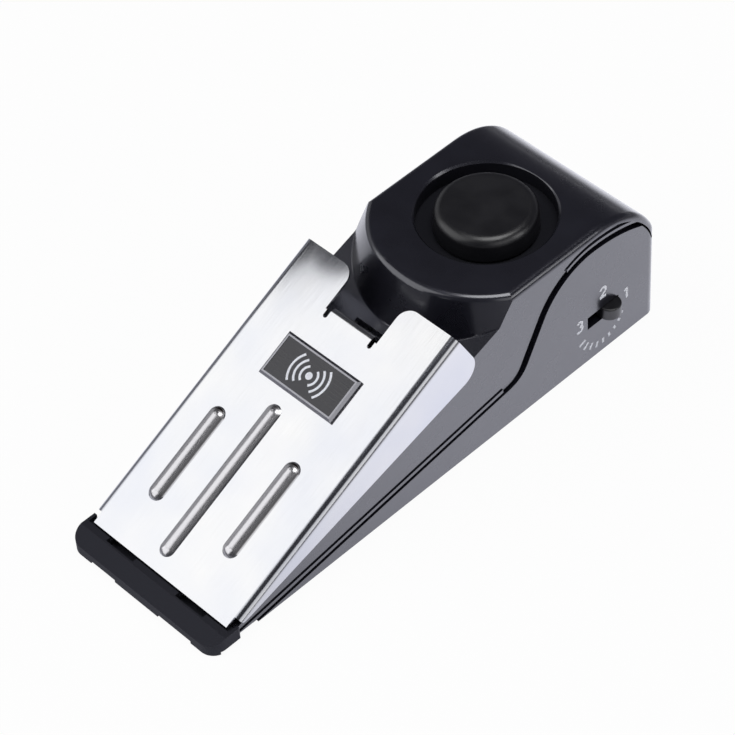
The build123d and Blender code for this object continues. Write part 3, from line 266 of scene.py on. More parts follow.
def start_finish(name):
    """Give a new material, its node tree, its shader and the object coordinates."""
    material = bpy.data.materials.new(name)
    material.use_nodes = True
    tree = material.node_tree
    place = add(tree, "ShaderNodeTexCoord").outputs["Object"]
    return material, tree, tree.nodes["Principled BSDF"], place


def per(size):
    """Scale of a pattern whose features are a size across, in millimetres."""
    return 1 / (size * MM)


def dress(material, *names):
    """Assign a material to solids by their names."""
    for name in names:
        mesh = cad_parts[name].data
        mesh.materials.clear()
        mesh.materials.append(material)
    print(material.name, "on", ", ".join(names))


# %% [markdown]
# ## Moulded ABS shell
# Both case halves are injection-moulded black ABS from a polished tool. Such a wall is nearly black, with a
# glossy skin that mirrors the white floor on the sides and the dark room on top. Not all of it is glossy.
# The nose in front is the same plastic, but it is pushed under doors and scuffed matt: its mask is the
# distance from the toe, with a soft edge. The recess around the siren cap is moulded in a rough-sparked
# insert, so it is dull, and its near-black colour is painted shade for the shade deep in the ring: its
# mask is a round around the cap's axis, below the top. Both masks are worked out first.

# %% Where the shell is glossy
NOSE_BACK = -65.6
NOSE_FADE = 0.4
RECESS_CENTRE = 40.5
RECESS_RADIUS = 17.1
RECESS_FADE = 0.2
RECESS_TOP = 42.0
TOP_FADE = (0.7, 0.4)
shell_finish, tree, shader, place = start_finish("moulded_abs_shell")
axes = add(tree, "ShaderNodeSeparateXYZ", {"Vector": place})
behind_nose = add(tree, "ShaderNodeMapRange", {
    "Value": axes.outputs["Y"],
    "From Min": (NOSE_BACK - NOSE_FADE) * MM, "From Max": (NOSE_BACK + NOSE_FADE) * MM,
})
flat_place = add(tree, "ShaderNodeCombineXYZ", {"X": axes.outputs["X"], "Y": axes.outputs["Y"]})
from_axis = add(tree, "ShaderNodeVectorMath", {
    0: flat_place.outputs["Vector"], 1: (0, RECESS_CENTRE * MM, 0),
}, operation="DISTANCE")
outside = add(tree, "ShaderNodeMapRange", {
    "Value": from_axis.outputs["Value"],
    "From Min": (RECESS_RADIUS - RECESS_FADE) * MM, "From Max": RECESS_RADIUS * MM,
})
above = add(tree, "ShaderNodeMapRange", {
    "Value": axes.outputs["Z"],
    "From Min": (RECESS_TOP - TOP_FADE[0]) * MM, "From Max": (RECESS_TOP - TOP_FADE[1]) * MM,
})
no_recess = add(tree, "ShaderNodeMath", {0: outside.outputs["Result"], 1: above.outputs["Result"]},
                operation="MAXIMUM")
glossy = add(tree, "ShaderNodeMath", {0: no_recess.outputs[0], 1: behind_nose.outputs["Result"]},
             operation="MULTIPLY")

# %% [markdown]
# A coat over the base gives the glossy skin. On the nose and in the recess there is no coat and the
# roughness is higher. The colour is darker there too, most so in the recess, whose near-black colour is
# painted shade. Slow waves of a fraction of a millimetre bend the reflections as sink marks do, a fine
# orange-peel grain softens them, and patches of slightly higher roughness are the marks of handling.

# %% Shell finish
cloud = add(tree, "ShaderNodeTexNoise", {"Vector": place, "Scale": per(9), "Detail": 4.0})
peel = add(tree, "ShaderNodeTexNoise", {"Vector": place, "Scale": per(0.5), "Detail": 2.0})
sink = add(tree, "ShaderNodeTexNoise", {"Vector": place, "Scale": per(22), "Detail": 1.0})
polished = add(tree, "ShaderNodeMix", {0: cloud.outputs["Fac"], 6: linear("#15151B"), 7: linear("#1D1D26")},
               data_type="RGBA")
handled = add(tree, "ShaderNodeMapRange", {
    "Value": cloud.outputs["Fac"], **NOISE_SPAN, "To Min": 0.24, "To Max": 0.33,
})
dull = add(tree, "ShaderNodeMapRange", {
    "Value": behind_nose.outputs["Result"], "To Min": 0.62, "To Max": 0.8,
})
rough = add(tree, "ShaderNodeMapRange", {
    "Value": glossy.outputs[0], "To Min": dull.outputs["Result"], "To Max": handled.outputs["Result"],
})
# Painted shade: the recess is near black (#030304) for the shade deep in the ring; the nose is a little
# darker than the rest.
dark = add(tree, "ShaderNodeMix", {
    0: behind_nose.outputs["Result"], 6: linear("#0D0D11"), 7: linear("#030304"),
}, data_type="RGBA")
colour = add(tree, "ShaderNodeMix", {0: glossy.outputs[0], 6: dark.outputs[2], 7: polished.outputs[2]},
             data_type="RGBA")
waves = add(tree, "ShaderNodeBump", {"Height": sink.outputs["Fac"], "Strength": 0.4, "Distance": 0.35 * MM})
grain = add(tree, "ShaderNodeBump", {
    "Height": peel.outputs["Fac"], "Strength": 0.25, "Distance": 0.01 * MM,
    "Normal": waves.outputs["Normal"],
})
feed(tree, shader, {
    "Base Color": colour.outputs[2], "Roughness": rough.outputs["Result"], "Normal": grain.outputs["Normal"],
    "IOR": 1.53, "Specular Tint": linear("#E6E8FF"),
    "Coat Weight": glossy.outputs[0], "Coat IOR": 1.72, "Coat Roughness": 0.18,
})
dress(shell_finish, "upper_case", "lower_case")

# %% [markdown]
# ## Satin ABS
# The siren cap, the knobs and the pieces inside the case are moulded from the same black ABS, in tools with
# a finer spark-eroded face. The grain is about a quarter of a millimetre and breaks the gloss, so these
# pieces look a little softer than the shell.

# %% Satin finish
satin_finish, tree, shader, place = start_finish("satin_abs")
cloud = add(tree, "ShaderNodeTexNoise", {"Vector": place, "Scale": per(6), "Detail": 3.0})
spark = add(tree, "ShaderNodeTexVoronoi", {"Vector": place, "Scale": per(0.28)})
colour = add(tree, "ShaderNodeMix", {0: cloud.outputs["Fac"], 6: linear("#141417"), 7: linear("#1C1C20")},
             data_type="RGBA")
rough = add(tree, "ShaderNodeMapRange", {
    "Value": cloud.outputs["Fac"], **NOISE_SPAN, "To Min": 0.30, "To Max": 0.42,
})
grain = add(tree, "ShaderNodeBump", {
    "Height": spark.outputs["Distance"], "Strength": 0.2, "Distance": 0.02 * MM,
})
feed(tree, shader, {
    "Base Color": colour.outputs[2], "Roughness": rough.outputs["Result"], "Normal": grain.outputs["Normal"],
    "IOR": 1.53, "Coat Weight": 0.4, "Coat IOR": 1.5, "Coat Roughness": 0.26,
})
dress(satin_finish, "siren_cap", "sensitivity_knob", "power_knob", "battery_door", "sounder_ring",
      "snap_connector", "sensitivity_switch", "power_switch", "boost_coil_sleeve")

# %% [markdown]
# ## Rolled stainless sheet
# The strike plate is stamped from bright rolled stainless steel. Rolling leaves hair-fine lines along the
# strip, which blur a reflection a little across them, and stamping leaves slow dents, so the white soft box
# comes back as patches of white and cool grey. The line pattern is a noise squeezed across the plate and
# stretched along it, after its coordinates are turned to lie in the plate.

# %% Sheet patterns
PLATE_SLOPE = math.radians(27.2)
sheet_finish, tree, shader, place = start_finish("rolled_stainless_sheet")
in_plate = add(tree, "ShaderNodeMapping", {"Vector": place, "Rotation": (-PLATE_SLOPE, 0, 0)})
stretched = add(tree, "ShaderNodeMapping", {
    "Vector": in_plate.outputs["Vector"], "Scale": (per(0.16), per(9), per(9)),
})
rolling = add(tree, "ShaderNodeTexNoise", {
    "Vector": stretched.outputs["Vector"], "Scale": 1.0, "Detail": 2.0,
})
patches = add(tree, "ShaderNodeTexNoise", {
    "Vector": place, "Scale": per(16), "Detail": 2.0, "Roughness": 0.4,
})
dents = add(tree, "ShaderNodeTexNoise", {"Vector": place, "Scale": per(34), "Detail": 1.0})

# %% [markdown]
# Three masks say where the sheet differs. Along each fold a narrow darker strip, about a millimetre inside
# each edge, is painted shade for the shade in the bend. On the beads the metal is stretched and rubbed, so
# they are duller: their mask is the height over the plate's plane. Their rear ends and, a little less, their
# right flanks are painted dark brown and rougher, as painted shade where they turn from the light. Both are
# found by the way that the surface leans.

# %% Sheet masks
FOLD_LINE = 23.3
FOLD_SHADE = (0.3, 0.9)
PLATE_LEVEL = 35.5
BEAD_RISE = (0.15, 0.4)
REAR_LEAN = (-0.25, 0.05)
FLANK_LEAN = (0.3, 0.6)
FLANK_SHADE = 0.75
axes = add(tree, "ShaderNodeSeparateXYZ", {"Vector": place})
aside = add(tree, "ShaderNodeMath", {0: axes.outputs["X"]}, operation="ABSOLUTE")
past_fold = add(tree, "ShaderNodeMath", {0: aside.outputs[0], 1: FOLD_LINE * MM}, operation="SUBTRACT")
from_fold = add(tree, "ShaderNodeMath", {0: past_fold.outputs[0]}, operation="ABSOLUTE")
# Painted shade: a darker strip along each fold, where the bend lies in shade.
fold_shade_and_rubbing = add(tree, "ShaderNodeMapRange", {
    "Value": from_fold.outputs[0], "From Min": FOLD_SHADE[0] * MM, "From Max": FOLD_SHADE[1] * MM,
    "To Min": 1.0, "To Max": 0.0,
})
turned = add(tree, "ShaderNodeSeparateXYZ", {"Vector": in_plate.outputs["Vector"]})
on_bead = add(tree, "ShaderNodeMapRange", {
    "Value": turned.outputs["Z"],
    "From Min": (PLATE_LEVEL + BEAD_RISE[0]) * MM, "From Max": (PLATE_LEVEL + BEAD_RISE[1]) * MM,
})
leaning = add(tree, "ShaderNodeSeparateXYZ", {"Vector": add(tree, "ShaderNodeTexCoord").outputs["Normal"]})
rear_end = add(tree, "ShaderNodeMapRange", {
    "Value": leaning.outputs["Y"], "From Min": REAR_LEAN[0], "From Max": REAR_LEAN[1],
})
right_flank = add(tree, "ShaderNodeMapRange", {
    "Value": leaning.outputs["X"], "From Min": FLANK_LEAN[0], "From Max": FLANK_LEAN[1],
    "To Max": FLANK_SHADE,
})
# Painted shade: the beads' rear ends and right flanks, which turn away from the front-left soft box, go dark
# brown.
shaded_faces = add(tree, "ShaderNodeMath", {0: rear_end.outputs["Result"], 1: right_flank.outputs["Result"]},
                operation="MAXIMUM")
painted_bead_shade = add(tree, "ShaderNodeMath", {0: shaded_faces.outputs[0], 1: on_bead.outputs["Result"]},
           operation="MULTIPLY")

# %% [markdown]
# The masks are laid over each other in order: the patches of the bright sheet first, then the painted fold
# shade, the duller beads and the painted bead shade on top. The roughness follows the same order.

# %% Sheet colour and roughness
colour = add(tree, "ShaderNodeMix", {0: patches.outputs["Fac"], 6: linear("#D2D5DE"), 7: linear("#E8E7E4")},
             data_type="RGBA")
layers = (
    # Painted shade along the folds.
    (fold_shade_and_rubbing.outputs["Result"], "#A6A8B0"),
    (on_bead.outputs["Result"], "#D2D1D4"),
    # Painted shade on the beads' rear ends and right flanks.
    (painted_bead_shade.outputs[0], "#2E2726"),
)
for mask, tone in layers:
    colour = add(tree, "ShaderNodeMix", {0: mask, 6: colour.outputs[2], 7: linear(tone)},
                 data_type="RGBA")
rough = add(tree, "ShaderNodeMapRange", {
    "Value": rolling.outputs["Fac"], **NOISE_SPAN, "To Min": 0.14, "To Max": 0.22,
})
for mask, most in ((on_bead.outputs["Result"], 0.22), (painted_bead_shade.outputs[0], 0.5)):
    rough = add(tree, "ShaderNodeMapRange", {
        "Value": mask, "To Min": rough.outputs["Result"], "To Max": most,
    })

# %% [markdown]
# The rear left corner has been bent down by a few degrees in use, and goes grey. The bend is a height that
# falls towards the left, and towards the rear as a parabola, by 2 mm at most. The slow dents and the
# hair-fine lines of the rolling come on top of it, each as a bump that starts from the one before.

# %% Sheet finish
CORNER_LEFT = -22
CORNER_REAR = (-16, 6)
CORNER_DROP = 2.0
leftwards = add(tree, "ShaderNodeMapRange", {
    "Value": axes.outputs["X"], "From Min": 0, "From Max": CORNER_LEFT * MM,
}, interpolation_type="SMOOTHSTEP")
rearwards = add(tree, "ShaderNodeMapRange", {
    "Value": axes.outputs["Y"], "From Min": CORNER_REAR[0] * MM, "From Max": CORNER_REAR[1] * MM,
})
parabola = add(tree, "ShaderNodeMath", {0: rearwards.outputs["Result"], 1: 2.0}, operation="POWER")
corner = add(tree, "ShaderNodeMath", {0: leftwards.outputs["Result"], 1: parabola.outputs[0]},
             operation="MULTIPLY")
lowered = add(tree, "ShaderNodeMath", {0: corner.outputs[0], 1: -1.0}, operation="MULTIPLY")
bent = add(tree, "ShaderNodeBump", {
    "Height": lowered.outputs[0], "Strength": 1.0, "Distance": CORNER_DROP * MM,
})
hollow = add(tree, "ShaderNodeBump", {
    "Height": dents.outputs["Fac"], "Strength": 0.8, "Distance": 0.7 * MM, "Normal": bent.outputs["Normal"],
})
lines = add(tree, "ShaderNodeBump", {
    "Height": rolling.outputs["Fac"], "Strength": 0.05, "Distance": 0.004 * MM,
    "Normal": hollow.outputs["Normal"],
})
feed(tree, shader, {
    "Base Color": colour.outputs[2], "Roughness": rough.outputs["Result"], "Normal": lines.outputs["Normal"],
    "Metallic": 1.0,
})
dress(sheet_finish, "strike_plate")

# %% [markdown]
# ## Badge
# The badge is a chromed frame around a black enamelled face. The frame is plated plastic with a satin
# blast, so it is darker than the sheet, and it has dulled in spots. The face is smooth enamel under a clear
# lacquer with fine wiping marks, which run across the badge.

# %% Badge finishes
chrome_finish, tree, shader, place = start_finish("satin_chrome")
blast = add(tree, "ShaderNodeTexNoise", {"Vector": place, "Scale": per(0.4), "Detail": 3.0})
spots = add(tree, "ShaderNodeTexNoise", {"Vector": place, "Scale": per(3), "Detail": 3.0})
colour = add(tree, "ShaderNodeMix", {0: spots.outputs["Fac"], 6: linear("#8A8A90"), 7: linear("#B4B4BA")},
             data_type="RGBA")
rough = add(tree, "ShaderNodeMapRange", {
    "Value": spots.outputs["Fac"], **NOISE_SPAN, "To Min": 0.2, "To Max": 0.34,
})
grain = add(tree, "ShaderNodeBump", {"Height": blast.outputs["Fac"], "Strength": 0.2, "Distance": 0.02 * MM})
feed(tree, shader, {
    "Base Color": colour.outputs[2], "Roughness": rough.outputs["Result"], "Normal": grain.outputs["Normal"],
    "Metallic": 1.0,
})
dress(chrome_finish, "badge_frame")

enamel_finish, tree, shader, place = start_finish("black_enamel")
in_plate = add(tree, "ShaderNodeMapping", {"Vector": place, "Rotation": (-PLATE_SLOPE, 0, 0)})
wiped = add(tree, "ShaderNodeMapping", {
    "Vector": in_plate.outputs["Vector"], "Scale": (per(7), per(0.35), per(2)),
})
marks = add(tree, "ShaderNodeTexNoise", {"Vector": wiped.outputs["Vector"], "Scale": 1.0, "Detail": 3.0})
colour = add(tree, "ShaderNodeMix", {0: marks.outputs["Fac"], 6: linear("#1B1B22"), 7: linear("#26262E")},
             data_type="RGBA")
rough = add(tree, "ShaderNodeMapRange", {
    "Value": marks.outputs["Fac"], **NOISE_SPAN, "To Min": 0.24, "To Max": 0.38,
})
film = add(tree, "ShaderNodeBump", {"Height": marks.outputs["Fac"], "Strength": 0.1, "Distance": 0.01 * MM})
feed(tree, shader, {
    "Base Color": colour.outputs[2], "Roughness": rough.outputs["Result"], "Normal": film.outputs["Normal"],
    "IOR": 1.5, "Coat Weight": 0.5, "Coat Roughness": 0.15,
})
dress(enamel_finish, "badge_face")

# %% [markdown]
# ## Rubber underneath
# The grip pads are moulded black rubber. Rubber is dark and dull, with a fine open grain and paler dust in
# its low places.

# %% Rubber finish
rubber_finish, tree, shader, place = start_finish("moulded_rubber")
pores = add(tree, "ShaderNodeTexNoise", {"Vector": place, "Scale": per(0.35), "Detail": 4.0})
dust = add(tree, "ShaderNodeTexNoise", {"Vector": place, "Scale": per(7), "Detail": 4.0})
colour = add(tree, "ShaderNodeMix", {0: dust.outputs["Fac"], 6: linear("#1B1B1D"), 7: linear("#34332F")},
             data_type="RGBA")
rough = add(tree, "ShaderNodeMapRange", {"Value": dust.outputs["Fac"], "To Min": 0.68, "To Max": 0.9})
grain = add(tree, "ShaderNodeBump", {"Height": pores.outputs["Fac"], "Strength": 0.5, "Distance": 0.05 * MM})
feed(tree, shader, {
    "Base Color": colour.outputs[2], "Roughness": rough.outputs["Result"], "Normal": grain.outputs["Normal"],
    "IOR": 1.52, "Sheen Weight": 0.1,
})
dress(rubber_finish, "front_grip_pad", "rear_grip_feet")

# %% [markdown]
# ## Metals inside
# The screws are black zinc, a dark plating with bluish spots. The sounder's disc, the contacts and the
# sensor's pin are brass, which browns in patches. The spring is bright drawn wire. Cans, pins, legs and rims
# are tinned, a soft grey-white. One cell makes each from the same few steps.

# %% Plated and bare metals
metals = {
    "black_zinc": ("#2C2D33", "#474852", 0.32, 0.5, ("case_screws", "board_screws")),
    "rolled_brass": ("#B58E46", "#D6B468", 0.22, 0.4, ("sounder_disc", "contact_bridge", "contact_posts",
                                                       "sensor_pin")),
    "drawn_spring_wire": ("#A8A8A6", "#CACAC8", 0.18, 0.3, ("plunger_spring",)),
    "tin_plate": ("#B9BABC", "#D9D9DA", 0.24, 0.42, (
        "chip_pins", "transistor_legs", "capacitor", "vibration_sensor", "resistor_leads", "battery_rims",
        "battery_plus_stud", "battery_minus_stud", "snap_contacts",
    )),
}
for name, (dark, light, least, most, solids) in metals.items():
    material, tree, shader, place = start_finish(name)
    spots = add(tree, "ShaderNodeTexNoise", {"Vector": place, "Scale": per(1.6), "Detail": 4.0})
    scratch = add(tree, "ShaderNodeTexNoise", {"Vector": place, "Scale": per(0.2), "Detail": 2.0})
    colour = add(tree, "ShaderNodeMix", {0: spots.outputs["Fac"], 6: linear(dark), 7: linear(light)},
                 data_type="RGBA")
    rough = add(tree, "ShaderNodeMapRange", {"Value": spots.outputs["Fac"], "To Min": least, "To Max": most})
    grain = add(tree, "ShaderNodeBump", {
        "Height": scratch.outputs["Fac"], "Strength": 0.2, "Distance": 0.01 * MM,
    })
    feed(tree, shader, {
        "Base Color": colour.outputs[2], "Roughness": rough.outputs["Result"],
        "Normal": grain.outputs["Normal"], "Metallic": 1.0,
    })
    dress(material, *solids)

# %% [markdown]
# ## Plastics, ceramic and insulation inside
# The plunger is white acetal, slightly waxy. The sounder's ceramic is fired, so it is matt with a fine
# grain. Chip and transistor are black epoxy with a sandblasted face, the coil's core is sintered ferrite,
# and the leads have soft PVC insulation. They differ in colour, grain size and gloss.

# %% Plastics and ceramics
compounds = {
    "white_acetal": ("#D8D7D0", "#E6E5E0", 0.3, 0.45, 0.6, 1.48, ("plunger",)),
    "fired_ceramic": ("#CFCBC0", "#E2DFD6", 0.5, 0.7, 0.15, 1.6, ("sounder_ceramic",)),
    "moulded_epoxy": ("#18181A", "#242427", 0.5, 0.66, 0.12, 1.55, ("alarm_chip", "transistor")),
    "sintered_ferrite": ("#2A2A2D", "#3C3B3E", 0.45, 0.65, 0.25, 1.6, ("boost_coil_core",)),
    "red_pvc_insulation": ("#A51612", "#BC2620", 0.3, 0.45, 0.4, 1.53, (
        "sounder_leads", "battery_lead_red", "power_leads",
    )),
    "black_pvc_insulation": ("#151517", "#222226", 0.32, 0.48, 0.4, 1.53, (
        "battery_lead_black", "switch_leads",
    )),
}
for name, (dark, light, least, most, grit, ior, solids) in compounds.items():
    material, tree, shader, place = start_finish(name)
    cloud = add(tree, "ShaderNodeTexNoise", {"Vector": place, "Scale": per(4), "Detail": 4.0})
    tooth = add(tree, "ShaderNodeTexNoise", {"Vector": place, "Scale": per(grit), "Detail": 3.0})
    colour = add(tree, "ShaderNodeMix", {0: cloud.outputs["Fac"], 6: linear(dark), 7: linear(light)},
                 data_type="RGBA")
    rough = add(tree, "ShaderNodeMapRange", {"Value": cloud.outputs["Fac"], "To Min": least, "To Max": most})
    grain = add(tree, "ShaderNodeBump", {
        "Height": tooth.outputs["Fac"], "Strength": 0.25, "Distance": 0.02 * MM,
    })
    feed(tree, shader, {
        "Base Color": colour.outputs[2], "Roughness": rough.outputs["Result"],
        "Normal": grain.outputs["Normal"], "IOR": ior,
    })
    dress(material, *solids)

# %% [markdown]
# ## Circuit board
# The board is glass-fibre epoxy under green solder mask. Copper tracks below the mask show as paler green
# lines. A Voronoi pattern with its distance to the cell edges gives a net of tracks about 3 mm apart. A
# track ends between 0.07 and 0.1 of a cell from its middle line.

# %% Board finish
TRACK_EDGE = (0.07, 0.1)
board_finish, tree, shader, place = start_finish("solder_mask_board")
cells = add(tree, "ShaderNodeTexVoronoi", {"Vector": place, "Scale": per(3)}, feature="DISTANCE_TO_EDGE")
track = add(tree, "ShaderNodeMapRange", {
    "Value": cells.outputs["Distance"], "From Min": TRACK_EDGE[0], "From Max": TRACK_EDGE[1],
})
weave = add(tree, "ShaderNodeTexNoise", {"Vector": place, "Scale": per(0.6), "Detail": 2.0})
colour = add(tree, "ShaderNodeMix", {0: track.outputs["Result"], 6: linear("#3F8A50"), 7: linear("#1E6134")},
             data_type="RGBA")
rough = add(tree, "ShaderNodeMapRange", {"Value": weave.outputs["Fac"], "To Min": 0.25, "To Max": 0.45})
step = add(tree, "ShaderNodeBump", {
    "Height": track.outputs["Result"], "Strength": 0.4, "Distance": 0.04 * MM,
}, invert=True)
feed(tree, shader, {
    "Base Color": colour.outputs[2], "Roughness": rough.outputs["Result"], "Normal": step.outputs["Normal"],
    "IOR": 1.5,
})
dress(board_finish, "circuit_board")

# %% [markdown]
# ## Resistors and battery
# A resistor's lacquered body carries colour bands across its length, and the battery's printed steel jacket
# has a dark blue field and a silver one. Both patterns are steps along one axis, read from the object
# coordinates, so they need no drawing. The solid's own box gives the start and the end of the axis.

# %% Resistor bands
LACQUER = "#CDAF7C"
BANDS = ("#5A3018", LACQUER, "#181818", LACQUER, "#C8641E", LACQUER, "#B58E46")
FIRST_BAND = 0.2
BAND_STEP = 0.09
LAST_BAND_END = 0.9
lowest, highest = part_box("resistors")
print("resistors", lowest, highest)
lacquer_finish, tree, shader, place = start_finish("lacquered_resistor")
axes = add(tree, "ShaderNodeSeparateXYZ", {"Vector": place})
along = add(tree, "ShaderNodeMapRange", {
    "Value": axes.outputs["X"], "From Min": lowest[0], "From Max": highest[0],
})
bands = add(tree, "ShaderNodeValToRGB", {"Fac": along.outputs["Result"]})
bands.color_ramp.interpolation = "CONSTANT"
bands.color_ramp.elements[0].color = linear(LACQUER)
bands.color_ramp.elements[1].position = LAST_BAND_END
bands.color_ramp.elements[1].color = linear(LACQUER)
for number, band in enumerate(BANDS):
    element = bands.color_ramp.elements.new(FIRST_BAND + BAND_STEP * number)
    element.color = linear(band)
speck = add(tree, "ShaderNodeTexNoise", {"Vector": place, "Scale": per(0.5), "Detail": 3.0})
rough = add(tree, "ShaderNodeMapRange", {"Value": speck.outputs["Fac"], "To Min": 0.25, "To Max": 0.45})
grain = add(tree, "ShaderNodeBump", {"Height": speck.outputs["Fac"], "Strength": 0.2, "Distance": 0.02 * MM})
feed(tree, shader, {
    "Base Color": bands.outputs["Color"], "Roughness": rough.outputs["Result"],
    "Normal": grain.outputs["Normal"], "IOR": 1.5,
})
dress(lacquer_finish, "resistors")

# %% [markdown]
# The jacket's silver field takes up less than the first third of the battery, and the blue one the rest.
# Handling has left the print a little rougher in patches, which a noise gives.

# %% Battery jacket
SILVER_FIELD = 0.3
lowest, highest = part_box("battery")
print("battery", lowest, highest)
jacket_finish, tree, shader, place = start_finish("printed_steel_jacket")
axes = add(tree, "ShaderNodeSeparateXYZ", {"Vector": place})
along = add(tree, "ShaderNodeMapRange", {
    "Value": axes.outputs["Y"], "From Min": lowest[1], "From Max": highest[1],
})
fields = add(tree, "ShaderNodeValToRGB", {"Fac": along.outputs["Result"]})
fields.color_ramp.interpolation = "CONSTANT"
fields.color_ramp.elements[0].color = linear("#A9A9AE")
fields.color_ramp.elements[1].position = SILVER_FIELD
fields.color_ramp.elements[1].color = linear("#1F2A5A")
fold_shade_and_rubbing = add(tree, "ShaderNodeTexNoise", {"Vector": place, "Scale": per(3), "Detail": 5.0})
rough = add(tree, "ShaderNodeMapRange", {"Value": fold_shade_and_rubbing.outputs["Fac"], "To Min": 0.28, "To Max": 0.5})
grain = add(tree, "ShaderNodeBump", {"Height": fold_shade_and_rubbing.outputs["Fac"], "Strength": 0.2, "Distance": 0.02 * MM})
feed(tree, shader, {
    "Base Color": fields.outputs["Color"], "Roughness": rough.outputs["Result"],
    "Normal": grain.outputs["Normal"], "Metallic": 0.6,
})
dress(jacket_finish, "battery")
left_over = [name for name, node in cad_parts.items() if not node.data.materials]
print("solids without a finish:", left_over)

# %% [markdown]
# ## Printing ink
# The marks on the side and the sign on the badge are pad-printed in pale ink. A print is a film of a few
# hundredths of a millimetre with a slightly uneven, matt surface. Where the noise is low the film is thin,
# and a little greyer.

# %% Ink finish
THIN_FILM = (0.25, 0.45)
ink_finish, tree, shader, place = start_finish("pad_printed_ink")
coverage = add(tree, "ShaderNodeTexNoise", {"Vector": place, "Scale": per(0.3), "Detail": 3.0})
covered = add(tree, "ShaderNodeMapRange", {
    "Value": coverage.outputs["Fac"], "From Min": THIN_FILM[0], "From Max": THIN_FILM[1],
    "To Min": 0.0, "To Max": 1.0,
})
colour = add(tree, "ShaderNodeMix", {
    0: covered.outputs["Result"], 6: linear("#CCD0DC"), 7: linear("#F6F8FF"),
}, data_type="RGBA")
film = add(tree, "ShaderNodeBump", {
    "Height": coverage.outputs["Fac"], "Strength": 0.3, "Distance": 0.01 * MM,
})
rough = add(tree, "ShaderNodeMapRange", {"Value": coverage.outputs["Fac"], "To Min": 0.45, "To Max": 0.65})
feed(tree, shader, {
    "Base Color": colour.outputs[2], "Roughness": rough.outputs["Result"], "Normal": film.outputs["Normal"],
    "IOR": 1.5,
})

# %% [markdown]
# ## Printed marks
# The real case has a mark beside each place of the sensitivity knob and a line of print below the slot, and
# the badge has a sign. Here the three places get plain numbers, the line becomes a row of growing bars, as
# on a volume scale, and the badge gets a dot with sound waves. Each mark is a thin raised strip: a flat
# profile of a given width and thickness, carried along a path that is worked out with numpy. An image could
# carry them too, but a strip stays sharp at any distance and exports as plain geometry.

# %% Strips along a path
def strip(path, width, thickness):
    """Rings of a strip along a flat path of N points: at each point p with unit normal n the ring has the
    corners p - n w/2 and p + n w/2, each at heights 0 and t. The result is N x 4 x 3."""
    along = np.gradient(path, axis=0)
    along /= np.linalg.norm(along, axis=1, keepdims=True)
    normal = np.stack([-along[:, 1], along[:, 0]], axis=1)
    sides = np.array([-0.5, -0.5, 0.5, 0.5]) * width
    heights = np.broadcast_to(np.array([0.0, 1.0, 1.0, 0.0]) * thickness, (len(path), 4))
    flat = path[:, None, :] + normal[:, None, :] * sides[None, :, None]
    return np.concatenate([flat, heights[:, :, None]], axis=2)


def arc(centre, radius, first, last, count=17):
    """Points on a circle: centre + radius (cos a, sin a), with a from first to last in degrees."""
    angles = np.radians(np.linspace(first, last, count))
    return np.array(centre) + radius * np.stack([np.cos(angles), np.sin(angles)], axis=1)


def line(*points, count=3):
    """Points spread evenly on each run between given points."""
    points = np.array(points, float)
    share = np.linspace(0, 1, count, endpoint=False)[None, :, None]
    runs = points[:-1, None, :] * (1 - share) + points[1:, None, :] * share
    return np.concatenate([runs.reshape(-1, 2), points[-1:]])


def closed_strips(name, stacks, origin, right, up, body):
    """A piece of printing ink, as one mesh from stacks of rings: a point (u, v, h) goes to
    origin + u right + v up + h (right x up). Neighbouring rings are joined by quads, and the first and last
    ring are closed by a face each. Faces turn outwards: where a stack's volume, the sum of a . (b x c) over
    its quads' first three corners seen from its middle, is negative, the order of its corners is reversed."""
    right, up = np.array(right, float), np.array(up, float)
    axes = np.stack([right, up, np.cross(right, up)])
    corners, faces = [], []
    for rings in stacks:
        count, ring = rings.shape[:2]
        points = rings.reshape(-1, 3) @ axes + np.array(origin)
        index = np.arange(count * ring).reshape(count, ring) + sum(len(block) for block in corners)
        beside = np.roll(index, -1, axis=1)
        quads = np.stack([index[:-1], beside[:-1], beside[1:], index[1:]], axis=2).reshape(-1, 4)
        arms = points[quads - index[0, 0]] - points.mean(axis=0)
        volume = np.einsum("ij,ij->", np.cross(arms[:, 0], arms[:, 1]), arms[:, 2])
        caps = [index[0][::-1].tolist(), index[-1].tolist()]
        stack_faces = quads.tolist() + caps
        faces += stack_faces if volume > 0 else [face[::-1] for face in stack_faces]
        corners.append(points)
    mesh = bpy.data.meshes.new(name)
    mesh.from_pydata(np.concatenate(corners).tolist(), [], faces)
    mesh.materials.append(ink_finish)
    piece = bpy.data.objects.new(name, mesh)
    bpy.context.scene.collection.objects.link(piece)
    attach(piece, body)
    print(name, len(faces), "faces")


# %% [markdown]
# ### Numbers and bars on the side
# The numbers stand on the right side panel, upright, around the sensitivity slot: 3 in front, 2 above and 1
# behind. Each is drawn with strokes in a box one unit high, then scaled to 3.4 mm. A later stroke is a
# little thicker than the one it crosses, so that no two tops lie in one plane. Places on the side are
# millimetres behind the toe and above the floor.

# %% Side numbers
SIDE = 23.6 * MM
TOE = -74.0 * MM
INK = 0.03 * MM
STROKE = 0.72 * MM
FIGURE = 3.4 * MM
LAYER_SHARE = 0.25
digit_strokes = {
    1: [line((-0.2, 0.28), (0.05, 0.5)), line((0.05, 0.5), (0.05, -0.5))],
    2: [
        arc((0, 0.22), 0.28, 165, -35), line((0.229, 0.06), (-0.28, -0.42)),
        line((-0.3, -0.42), (0.32, -0.42)),
    ],
    3: [arc((0, 0.24), 0.25, 150, -85), arc((0, -0.22), 0.28, 85, -150)],
}
digit_places = {3: (121.1, 14.4), 2: (129.2, 20.2), 1: (137.5, 13.9)}
stacks = []
for digit, strokes in digit_strokes.items():
    centre = np.array(digit_places[digit]) * MM
    stacks += [
        strip(centre + stroke * FIGURE, STROKE, INK * (1 + LAYER_SHARE * number))
        for number, stroke in enumerate(strokes)
    ]

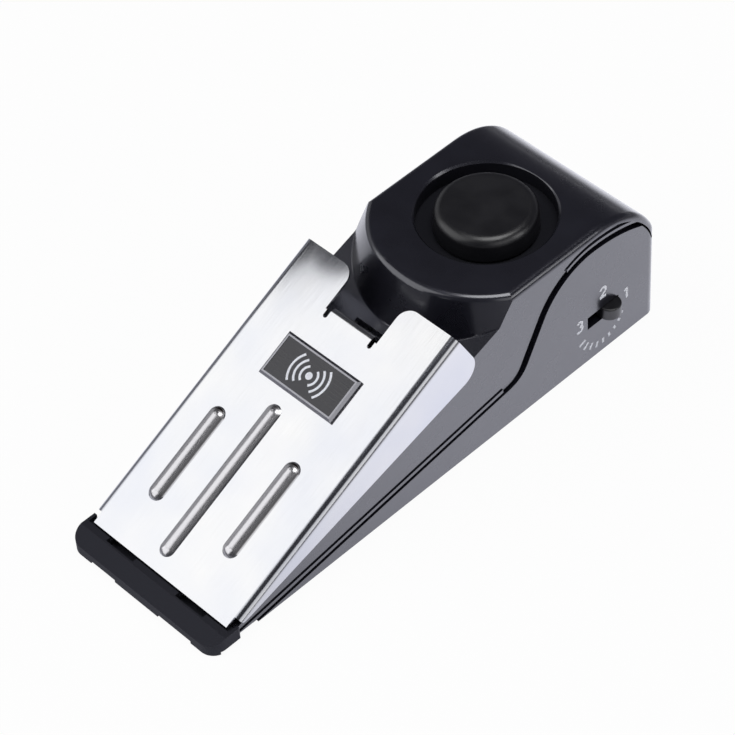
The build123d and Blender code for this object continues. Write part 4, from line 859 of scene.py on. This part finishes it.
# %% [markdown]
# The bars stand on an arc around the slot, point at its centre, and grow towards the 3. A bar starts on a
# circle and runs outwards, and its angle and its length change evenly from the first bar to the last.

# %% Side bars
BAR_COUNT = 9
BAR_CENTRE = np.array((129.3, 11.2))
BAR_CIRCLE = 6.7
BAR_ANGLES = (203, 338)
BAR_LENGTHS = (2.3, 0.9)
angles = np.radians(np.linspace(*BAR_ANGLES, BAR_COUNT))
lengths = np.linspace(*BAR_LENGTHS, BAR_COUNT)
for angle, length in zip(angles, lengths):
    towards = np.array((math.cos(angle), math.sin(angle)))
    inner = BAR_CENTRE + towards * BAR_CIRCLE
    stacks.append(strip(line(inner * MM, (inner + towards * length) * MM), STROKE, INK))
closed_strips("side_marks", stacks, (SIDE, TOE, 0), (0, 1, 0), (0, 0, 1), "case")

# %% [markdown]
# ### Sign on the badge
# A dot with three waves on each side says that the object makes a noise. It lies in the badge's plane,
# which is the plate's plane, lifted by the badge's height. A wave is an arc, given by its radius in
# millimetres and by the degrees that it reaches to each side of level. The outer ones reach less far.

# %% Badge sign
PLATE_START = (6.35, 5.15)
BADGE_RUN = 56.4
BADGE_HEIGHT = 1.1
DOT_RADIUS = 0.95
DOT_CORNERS = 24
WAVES = ((2.3, 58), (3.9, 50), (5.5, 42))
WAVE_STROKE = 0.6 * MM
run = np.array((0, math.cos(PLATE_SLOPE), math.sin(PLATE_SLOPE)))
off = np.array((0, -math.sin(PLATE_SLOPE), math.cos(PLATE_SLOPE)))
plate_start = np.array((0, PLATE_START[0] * MM + TOE, PLATE_START[1] * MM))
badge_origin = plate_start + run * BADGE_RUN * MM + off * BADGE_HEIGHT * MM
disc = arc((0, 0), DOT_RADIUS * MM, 0, 360, DOT_CORNERS + 1)[:-1]
dot = np.stack([
    np.concatenate([disc, np.full((DOT_CORNERS, 1), level)], axis=1) for level in (0, INK)
])
stacks = [dot]
for radius, reach in WAVES:
    for middle in (0, 180):
        wave = arc((0, 0), radius * MM, middle - reach, middle + reach)
        stacks.append(strip(wave, WAVE_STROKE, INK))
closed_strips("badge_sign", stacks, badge_origin, (1, 0, 0), run, "plate")
